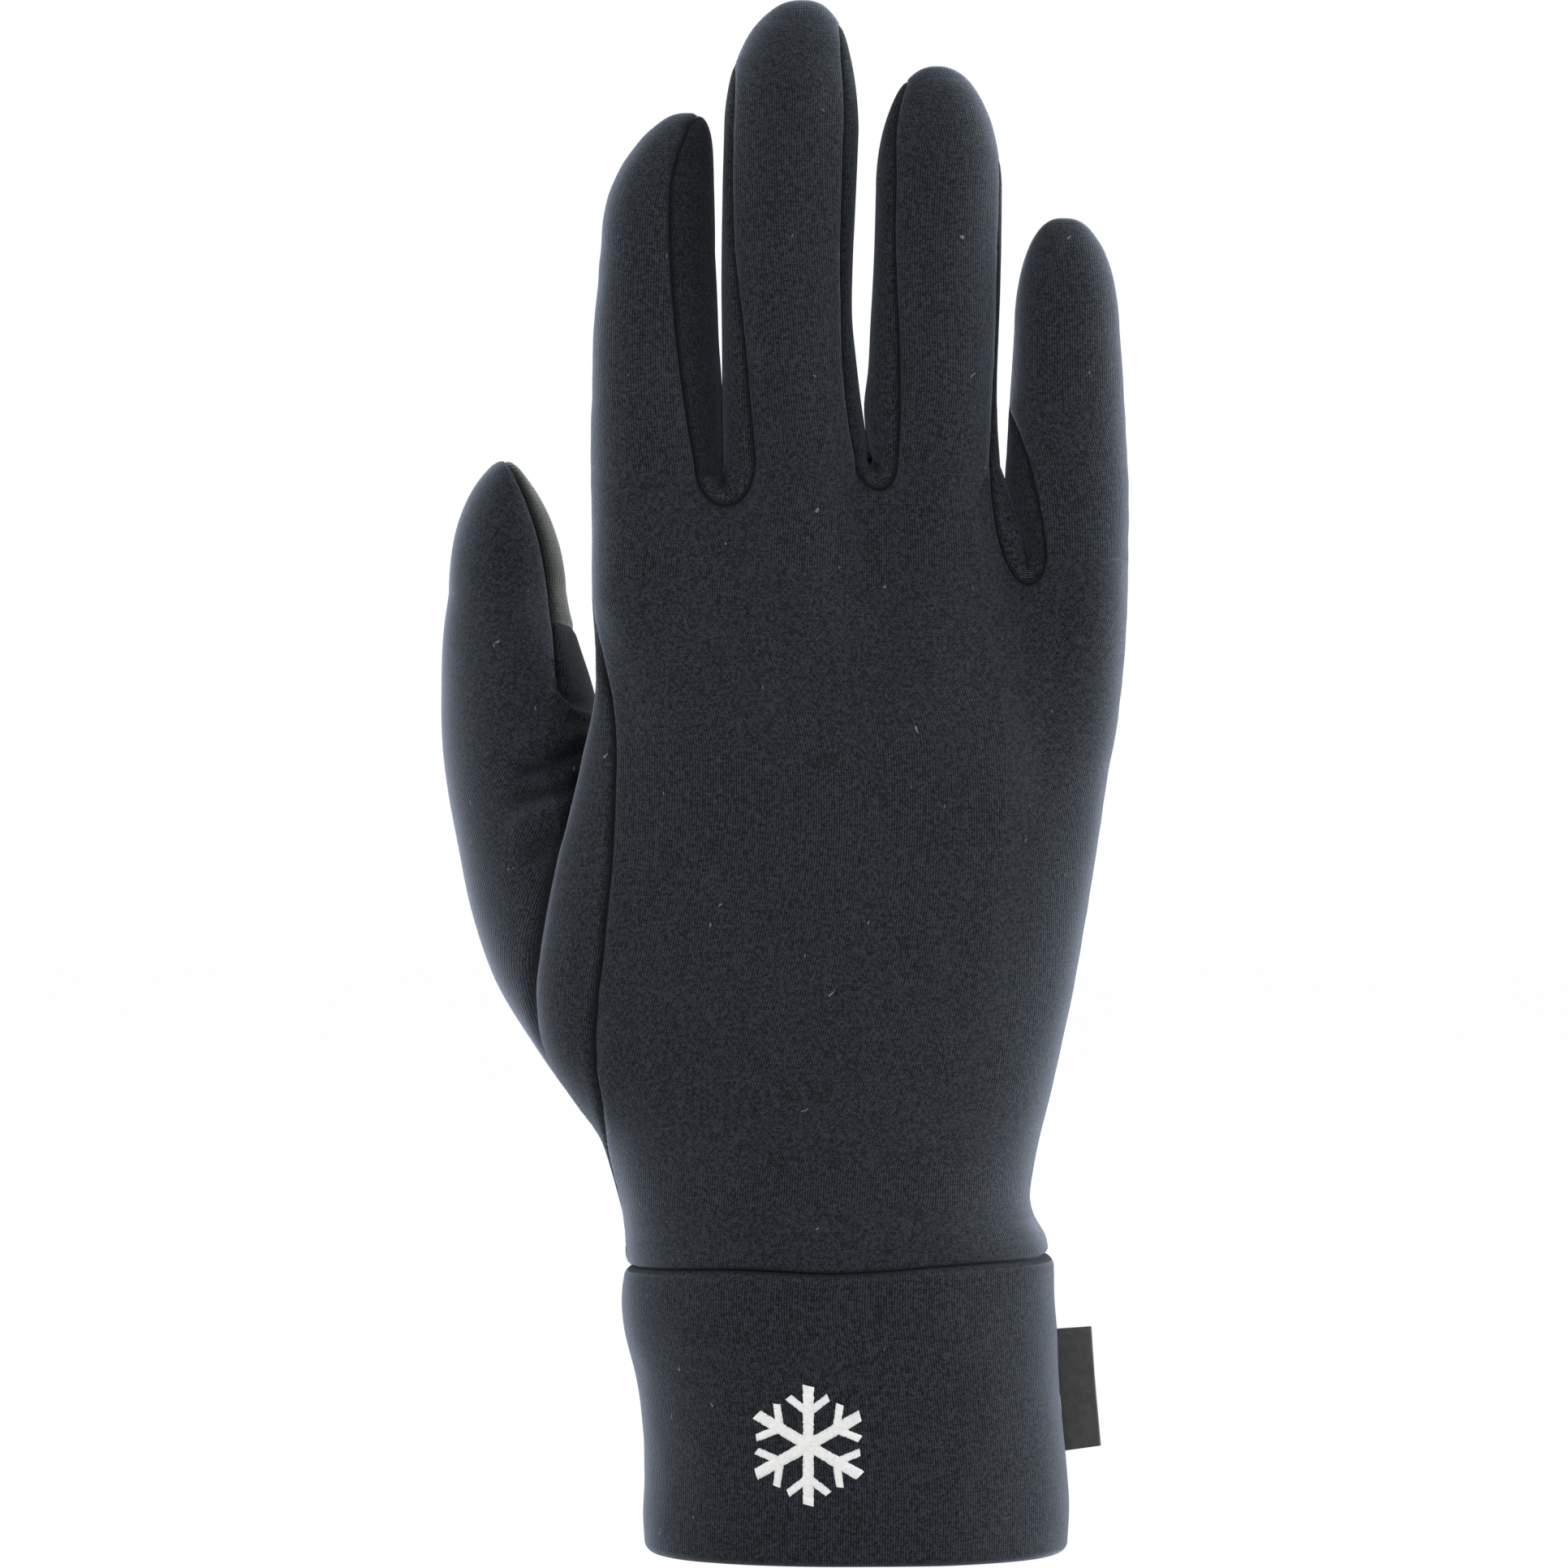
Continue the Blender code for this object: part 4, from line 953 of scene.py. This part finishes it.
# Folds of the thumb's web and root, on lines of the front view, some with painted shade along them
WEB_FOLDS = (
    (((-48.9, 144.2), (-48.9, 141.4), (-47.8, 139.6), (-46.2, 138.6), (-42.5, 137.6)), -1.0, 0.75, 0.85),
    (((-49.4, 139.4), (-46.6, 137.2), (-42.8, 136.2)), 0.8, 1.0, 0.0),
    (((-47.0, 135.8), (-43.0, 134.6)), -0.5, 1.2, 0.35),
    (((-54.0, 131.6), (-50.0, 132.8), (-45.5, 133.4)), 0.7, 1.7, 0.0),
    (((-54.5, 127.6), (-51.5, 128.4), (-48.0, 129.8), (-44.5, 131.2)), -1.6, 1.5, 0.6),
    (((-55.0, 122.9), (-50.5, 124.0), (-45.0, 125.2)), -0.9, 1.5, 0.5),
    (((-55.0, 118.6), (-50.0, 120.8), (-45.0, 122.9)), 0.9, 2.0, 0.0),
    (((-53.0, 113.4), (-49.0, 116.4)), -0.7, 1.8, 0.4),
    # Painted shade alone, with no fold: along the crease between the thumb and the strip of the palm
    (((-43.4, 137.0), (-45.0, 133.0), (-47.2, 128.0)), 0.0, 1.7, 0.5),
)
BACK_FOLDS = ((((-42.0, 88.9), (-42.6, 84.9), (-42.4, 80.9)), -0.5, 1.3, 0.3),)
# Painted shade in the hollow between the thumb's inner seam and the hand, and the facing where it fades
HOLLOW_FACING, HOLLOW_FADE = 0.4, 0.3
HOLLOW = ((((-47.4, 148.6), (-46.6, 144.5), (-44.8, 140.9)), 0.0, 3.0, 0.75),)
# How far the shade of a crotch's crease reaches to its left and right, in mm, and walls that lie in shade
CROTCH_SHADE = 0.92
SHADE_FROM, SHADE_OVER = 0.05, 0.12     # share of the depth behind a seam where it sets in
CREASE_REACH = {
    "index_middle_gusset": (3.2, 0.8), "middle_ring_gusset": (0.9, 1.6), "ring_little_gusset": (0.7, 1.6),
}
WALL_SHADE = {("index", "ulnar_wall"): 0.5, ("little", "radial_wall"): 0.45, ("ring", "radial_wall"): 0.15}
WALL_WAVES = 0.25
WALLS = [n for n in grids if "gusset" in n or n[1] in ("ulnar_wall", "radial_wall")]
HAND_NODES = {"hand_back": "back_panel", "hand_palm": "palm_panel"}


def wall_shade(name, grid):
    """Shade of a finger's wall, or of a crotch saddle beside its crease."""
    if name not in CREASE_REACH:
        return WALL_SHADE.get(name, 0.0)
    half = CROTCH_STEPS // 2
    d = seam_distance(grid, seam_tree([grid[half]]))
    left, right = CREASE_REACH[name]
    reach = np.where(np.arange(len(grid)) > half, left, right)[:, None] * MM
    behind = smooth_step((np.minimum(WALL_SHARES, 1 - WALL_SHARES) - SHADE_FROM) / SHADE_OVER)
    return CROTCH_SHADE * bell(d / reach) * behind


for name, grid in grids.items():
    if name in WALLS:
        hand.dress(name, waves=WALL_WAVES, dim=wall_shade(name, grid))
    else:
        folds = BACK_FOLDS if name in HAND_NODES else None
        hand.dress(name, folds, np.abs(above_thumb) if name == "hand_palm" else None)
hand.soften()
# Painted shade in the hollow beside the thumb's inner seam
for name, grid in thumb.grids.items():
    hollow = fold_height(grid, HOLLOW)[1] * smooth_step(
        (HOLLOW_FACING - thumb.normals[name][..., 1]) / HOLLOW_FADE
    )
    if name == "thumb_base":
        thumb.dress(name, WEB_FOLDS, np.abs(above_hand), dim=hollow)
    else:
        thumb.dress(name, dim=hollow if name == "thumb_inner" else 0.0)
thumb.soften()


# Pieces of cloth

BURIED = -2.4 * MM          # faces wholly deeper than this inside the other surface are left out
# Where the web faces the hand: share of the radius at its foot and gain with height, in mm, and depth
WEB_EDGE, WEB_GAIN, WEB_FROM, WEB_OVER, WEB_DEPTH = 0.3, 0.3, 130, 16, 0.1
WEB_LEVELS = 40


def face_mask(height):
    """Faces that aren't wholly buried."""
    return ~(height.reshape(-1)[quads(numbers(*height.shape))] < BURIED).all(axis=1)


def cloth(name):
    """The finish of a panel: the palm side is rubbed smoother; the walls take a shaded copy of the knit, with
    little sheen and a colour painted lighter, for the light and shade between the stalls.
    """
    if name in WALLS:
        return WALL_FLEECE_PAINTED_LIGHTER
    return PALM_FLEECE if name == "hand_palm" or name[1] == "palm" else FLEECE


for name in [n for n in grids if isinstance(n, str)]:
    kept = face_mask(above_thumb) if name == "hand_palm" else None
    piece = add_panel(name, hand, name, cloth(name), kept=kept)
    if name in HAND_NODES:
        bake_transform(piece)
        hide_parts(HAND_NODES[name])
    else:
        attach(piece, "hand")
        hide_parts(name.replace("_gusset", "_fourchette"))


def finger_piece(finger, part, name, panel, rows, finish):
    piece = add_panel(name + "_cloth", hand, panel, finish, rows)
    x = finger_section(finger, finger.base)[0]
    if part == "lower":
        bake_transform(piece)
    else:
        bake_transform(piece)
    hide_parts(name)


for finger in FINGERS:
    row = splits[finger.name] - 1
    for side in panels[finger.name]:
        panel = (finger.name, side)
        last = pad_row + 1 if panel == ("index", "palm") else None
        for part, rows in (("lower", slice(0, row + 1)), ("tip", slice(row, last))):
            finger_piece(finger, part, f"{finger.name}_{side}_{part}", panel, rows, cloth(panel))
        if last:
            finger_piece(finger, "tip", "index_touch_pad", panel, slice(pad_row, None), CONDUCTIVE)


def shade_web(piece):
    """The cloth that faces the hand beside the thumb's crease takes a shaded copy of the knit with little
    sheen, as painted shade.
    """
    piece.data.materials.append(INNER_FLEECE_PAINTED_SHADE)
    centres = np.array([tuple(face.center) for face in piece.data.polygons])
    levels = np.linspace(centres[:, 2].min(), centres[:, 2].max(), WEB_LEVELS)
    frames = np.array([(*thumb_frame(z)[0], thumb_frame(z)[1]) for z in levels])
    middle_x, middle_y, radius = (np.interp(centres[:, 2], levels, frames[:, k]) for k in (0, 1, 3))
    out_x, out_y = (centres[:, 0] - middle_x) / radius, (centres[:, 1] - middle_y) / radius
    edge = WEB_EDGE + WEB_GAIN * smooth_step((centres[:, 2] / MM - WEB_FROM) / WEB_OVER)
    facing = (out_x > edge) & (out_y < WEB_DEPTH)
    piece.data.polygons.foreach_set("material_index", facing.astype(np.int32))


bend_centre, _, _, _, bend_tangent = thumb_frame(THUMB_BEND_Z)
for name in thumb.grids:
    finish = CONDUCTIVE if name == "thumb_touch_pad" else THUMB_FLEECE
    kept = face_mask(above_hand) if name == "thumb_base" else None
    piece = add_panel(name + "_cloth", thumb, name, finish, kept=kept)
    if name in ("thumb_base", "thumb_inner"):
        shade_web(piece)
    if name == "thumb_base":
        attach(piece, "hand")
    else:
        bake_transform(piece)
    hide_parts(name)


# Cuff: a folded double band with a rolled top edge and a folded rim

CUFF_Z = (0.0, 4.6, 11.3, 19.3, 27.3, 35.3, 40.9, 46.0)
CUFF_LEFT = (-34.9, -35.1, -34.8, -35.2, -36.1, -38.0, -38.6, -38.3)
CUFF_RIGHT = (34.6, 34.9, 34.7, 34.0, 33.3, 32.8, 32.5, 32.8)
CUFF_DEPTH = 22.5 * MM
CUFF_WALL = 3.1 * MM
CUFF_COLUMNS = 220
HEM_DROP = -0.5 * MM        # the soft hem settles a little below the band
HEM_ROUND = 1.55 * MM
TOP_ROUND = 2.2 * MM


def cuff_section():
    """Height (share of the way up, and extra) and inset of the band's section, from the hem round."""
    out = []
    for t in np.linspace(-90, 0, 9) * DEG:
        out.append((0.0, HEM_DROP + HEM_ROUND + HEM_ROUND * math.sin(t), HEM_ROUND * (1 - math.cos(t))))
    out += [(share, 0.0, 0.0) for share in np.linspace(0.06, 0.93, 34)]
    for t in np.linspace(20, 100, 9) * DEG:
        out.append((1.0, -2.3 * MM + TOP_ROUND * math.sin(t), TOP_ROUND * (1 - math.cos(t))))
    out.append((1.0, -1.5 * MM, CUFF_WALL + 0.2 * MM))
    out += [(share, 0.0, CUFF_WALL) for share in np.linspace(0.9, 0.1, 14)]
    for t in np.linspace(0, 75, 6) * DEG:
        out.append((0.0, HEM_DROP + HEM_ROUND * (1 - math.sin(t)), CUFF_WALL - HEM_ROUND * (1 - math.cos(t))))
    return out


def build_cuff():
    angles = np.linspace(0, 2 * math.pi, CUFF_COLUMNS, endpoint=False)
    section = np.array(cuff_section())
    share, extra, inset = (section[:, [k]] for k in range(3))
    level = share * CUFF_Z[-1] * MM + extra
    left, right = mm_along(CUFF_Z, CUFF_LEFT, level), mm_along(CUFF_Z, CUFF_RIGHT, level)
    dx, dy = oval((right - left) / 2 - inset, CUFF_DEPTH - inset, angles, CUFF_ROUND)
    x = (left + right) / 2 + dx
    grid = np.stack([x, dy, share * cuff_seam(x) + extra], axis=-1)
    wave = 0.28 * MM * noise_field(grid, 14 * MM) + 0.1 * MM * noise_field(grid, 5 * MM)
    out = grid * (1.0, 2.2, 0.0)
    grid += out / np.linalg.norm(out, axis=-1, keepdims=True) * wave[..., None]
    count = len(section)
    faces = quads(np.pad(numbers(count, CUFF_COLUMNS), (0, 1), mode="wrap")).tolist()
    up = run_along(grid[:, 0])
    around = run_along(np.concatenate([grid[20], grid[20][:1]]))
    around, up = np.meshgrid(around, np.append(up, up[-1] + 1 * MM))
    uv = np.stack([around, up], axis=-1).reshape(-1, 2)[quads(numbers(*up.shape))]
    # The edge that turns in under the hand panels takes the walls' lighter copy of the knit with little
    # sheen, and painted shade that darkens it towards the seam itself
    depth = np.where(share == 1.0, smooth_step((inset - 0.5 * MM) / (1.3 * MM)), 0.0)
    seam = np.repeat(depth, CUFF_COLUMNS)
    obj = add_object("cuff", grid.reshape(-1, 3).tolist(), faces, CUFF_FLEECE, WALL_FLEECE_PAINTED_LIGHTER, uv=uv, seam=seam)
    turned_in = ((share == 1.0) & (inset > 0.45 * MM)).astype(np.int32)
    obj.data.polygons.foreach_set("material_index", np.repeat(turned_in, CUFF_COLUMNS))
    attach(obj, "cuff")
    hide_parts("cuff_band")
    return obj


cuff = build_cuff()


# Woven loop label in the cuff's side seam

LABEL_TOP, LABEL_BOTTOM = 35.7 * MM, 15.7 * MM
LABEL_REACH, LABEL_LAYER, LABEL_FOLD = 5.9 * MM, 0.32 * MM, 0.15 * MM
LABEL_ROWS = 22
LABEL_CURL = 0.7 * MM
LABEL_DARK, LABEL_LIGHT = (0.02, 0.022, 0.021), (0.06, 0.064, 0.06)
WARP, WEFT = 0.3 * MM, 0.22 * MM


def woven(name):
    """Fine plain weave of a damask tape."""
    nodes = material(name)
    uv, where = nodes.places()
    split = nodes.add("SeparateXYZ", {"Vector": uv})
    cell = nodes.times(nodes.wave(split["X"], WARP), nodes.wave(split["Y"], WEFT))
    tone = nodes.plus(nodes.times(cell, 0.25), nodes.noise(where, 700.0, 3.0, 0.6))
    nodes.set(
        "Principled BSDF", base_color=nodes.ramp(tone, (0.2, LABEL_DARK), (0.8, LABEL_LIGHT)),
        normal=nodes.bump(cell, 0.4, 0.06 * MM), roughness=0.7, sheen_weight=0.2,
    )
    return nodes.owner


def build_label():
    half, outside = LABEL_FOLD / 2, LABEL_FOLD / 2 + LABEL_LAYER
    bend = LABEL_REACH - outside
    turn = np.linspace(90, -90, 11) * DEG
    flat = np.linspace(0, bend, 7)[:-1]

    def face(r):
        arc = [(bend + r * math.cos(t), r * math.sin(t)) for t in turn]
        return [(x, r) for x in flat] + arc + [(x, -r) for x in flat[::-1]]

    loop = np.array(face(outside) + face(half)[::-1])
    count = len(loop)
    heights = np.linspace(LABEL_BOTTOM, LABEL_TOP, LABEL_ROWS)
    up = ((heights - LABEL_BOTTOM) / (LABEL_TOP - LABEL_BOTTOM))[:, None]
    out = loop[:, 0] / LABEL_REACH
    x = mm_along(CUFF_Z, CUFF_RIGHT, heights)[:, None] + loop[:, 0]
    y = loop[:, 1] - LABEL_CURL * out * out * np.cos(up * 2.4 - 1.2)
    z = heights[:, None] + out * (0.85 - 0.42 * up) * MM
    points = np.stack([x, y, z], axis=-1).reshape(-1, 3)
    turned = [0, 3, 2, 1]
    ids = np.pad(numbers(LABEL_ROWS, count), ((0, 0), (0, 1)), mode="wrap")
    faces = quads(ids)[:, turned].tolist()
    run = run_along(loop)
    plan = np.stack(np.meshgrid(np.append(run, run[-1] + LABEL_LAYER), heights), axis=-1).reshape(-1, 2)
    uv = plan[quads(numbers(LABEL_ROWS, count + 1))[:, turned]].reshape(-1, 2).tolist()
    for first, order in ((0, 1), ((LABEL_ROWS - 1) * count, -1)):
        for j in range(count // 2 - 1):
            quad = (first + j, first + j + 1, first + count - 2 - j, first + count - 1 - j)
            faces.append(quad[::order])
            uv += [(0.0, 0.0), (0.0, 0.0003), (0.0003, 0.0003), (0.0003, 0.0)]
    obj = add_object("side_label_tape", points.tolist(), faces, woven("woven_label"), uv=uv)
    obj.data.set_sharp_from_angle(angle=50 * DEG)
    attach(obj, "label")
    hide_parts("side_label")


build_label()


# Embroidered motif on the cuff: a plain six-armed snow star in satin stitch

MOTIF_AT = (-8.0, 19.2)      # x and z of its centre, in mm
MOTIF_ARM, MOTIF_STROKE = 9.6, 2.0
BRANCH_AT, BRANCH_LENGTH, BRANCH_STROKE, BRANCH_TURN = 5.2, 4.1, 1.4, 52 * DEG
THREAD_PITCH = 0.36
THREAD_RISE = 0.45 * MM
THREAD_SINK = 0.12 * MM


def thread_finish(name):
    nodes = material(name)
    shade = nodes.noise(nodes.add("TexCoord")["Object"], 1500.0, 3.0, 0.6)
    colour = nodes.ramp(shade, (0.2, (0.8, 0.8, 0.79)), (0.8, (0.97, 0.97, 0.96)))
    nodes.set("Principled BSDF", base_color=colour, roughness=0.45, sheen_weight=0.3)
    return nodes.owner


def heading(t):
    return np.array([math.cos(t), math.sin(t)])


def motif_strokes():
    """Start and end, width and lift of each stroke: three arms, and two branches at each end."""
    strokes = []
    for k in range(3):
        arm = heading((90 + 60 * k) * DEG)
        strokes.append((-arm * MOTIF_ARM, arm * MOTIF_ARM, MOTIF_STROKE, 0.12 * k))
    for k in range(6):
        t = (90 + 60 * k) * DEG
        at = BRANCH_AT * heading(t)
        for side in (-1, 1):
            strokes.append((at, at + BRANCH_LENGTH * heading(t + side * BRANCH_TURN), BRANCH_STROKE, 0.05))
    return strokes


def build_motif(cuff):
    mesh = cuff.data
    ground = BVHTree.FromPolygons([v.co for v in mesh.vertices], [tuple(f.vertices) for f in mesh.polygons])
    points, faces = [], []
    across = np.linspace(-1, 1, 9)
    for n, (start, end, width, lift) in enumerate(motif_strokes()):
        length = np.linalg.norm(end - start)
        ahead = (end - start) / length
        aside = np.array([-ahead[1], ahead[0]])
        rows = int(length / THREAD_PITCH * 5)
        faces += (len(points) + quads(numbers(rows + 1, len(across)))).tolist()
        for s in np.arange(rows + 1) / rows:
            thread = s * length / THREAD_PITCH
            ridge = abs(math.sin(math.pi * thread))
            reach = width / 2 * (1 + 0.13 * noise.noise(Vector((math.floor(thread) * 1.7, n * 3.1, 0.5))))
            reach *= 0.94 + 0.06 * ridge
            for c in across:
                u, v = MOTIF_AT + start + ahead * (s * length + 0.12 * width * c) + aside * c * reach
                hit, normal, _, _ = ground.ray_cast(Vector((u * MM, -0.1, v * MM)), Vector((0, 1, 0)))
                crown = math.sqrt(max(0.0, 1 - c * c))
                rise = (THREAD_RISE + lift * MM) * crown * (0.72 + 0.28 * ridge) - THREAD_SINK
                points.append(tuple(hit + normal * rise))
    obj = add_object("cuff_motif", points, faces, thread_finish("white_thread"))
    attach(obj, "cuff")


build_motif(cuff)


# Camera, floor and light

CAMERA_AT = (-0.0119, -0.9, 0.1253)
VIEW_WIDTH = 0.2579         # width of the picture at the glove
SENSOR = 36.0
LIGHT_TARGET = Vector((0, 0, 0.13))
SKY_LIGHT, SKY_SEEN = 0.35, 0.65
FLOOR_Z, FLOOR_HALF, FLOOR_GLOW = -0.0011, 3, 0.985

scene = bpy.context.scene
camera_data = bpy.data.cameras.new("camera")
camera = bpy.data.objects.new("camera", camera_data)
scene.collection.objects.link(camera)
camera.location = CAMERA_AT
camera.rotation_euler = (math.pi / 2, 0, 0)
camera_data.sensor_width = SENSOR
camera_data.lens = SENSOR * -CAMERA_AT[1] / VIEW_WIDTH
scene.camera = camera
scene.view_settings.view_transform = "Standard"


def light(name, at, size, power):
    data = bpy.data.lights.new(name, "AREA")
    data.shape = "RECTANGLE"
    data.size, data.size_y = size
    data.energy = power
    lamp = bpy.data.objects.new(name, data)
    lamp.location = at
    lamp.rotation_euler = (LIGHT_TARGET - Vector(at)).to_track_quat("-Z", "Y").to_euler()
    scene.collection.objects.link(lamp)


light("key", (-0.25, -0.9, 0.75), (0.7, 0.5), 5.0)
light("left_side", (-0.72, 0.2, 0.3), (0.5, 0.7), 3.2)
light("right_side", (0.75, 0.1, 0.25), (0.5, 0.8), 11.0)


def seen_by(nodes, *rays):
    """1 for rays of these kinds, 0 for the rest."""
    path = nodes.add("LightPath")
    seen = path[rays[0]]
    for ray in rays[1:]:
        seen = nodes.math("MAXIMUM", seen, path[ray])
    return seen


scene.world = bpy.data.worlds.new("studio")
sky = Nodes(scene.world)
seen = seen_by(sky, "Is Camera Ray", "Is Glossy Ray", "Is Transmission Ray")
sky.set("Background", color=(1, 1, 1, 1), strength=sky.plus(sky.times(seen, SKY_SEEN), SKY_LIGHT))

pale = material("pale_floor")
pale.set("Principled BSDF", base_color=(0.86, 0.86, 0.86, 1), roughness=0.9)
glow = pale.times(seen_by(pale, "Is Camera Ray", "Is Glossy Ray"), FLOOR_GLOW)
white = pale.add("Emission", {"Color": (1, 1, 1, 1)})["Emission"]
plain = pale.tree.nodes["Principled BSDF"].outputs["BSDF"]
pale.set("Material Output", surface=pale.add("MixShader", {0: glow, 1: plain, 2: white})["Shader"])
corners = [(x * FLOOR_HALF, y * FLOOR_HALF, 0) for x, y in ((-1, -1), (1, -1), (1, 1), (-1, 1))]
floor = add_object("floor", corners, [(0, 1, 2, 3)], pale.owner)
floor.location.z = FLOOR_Z
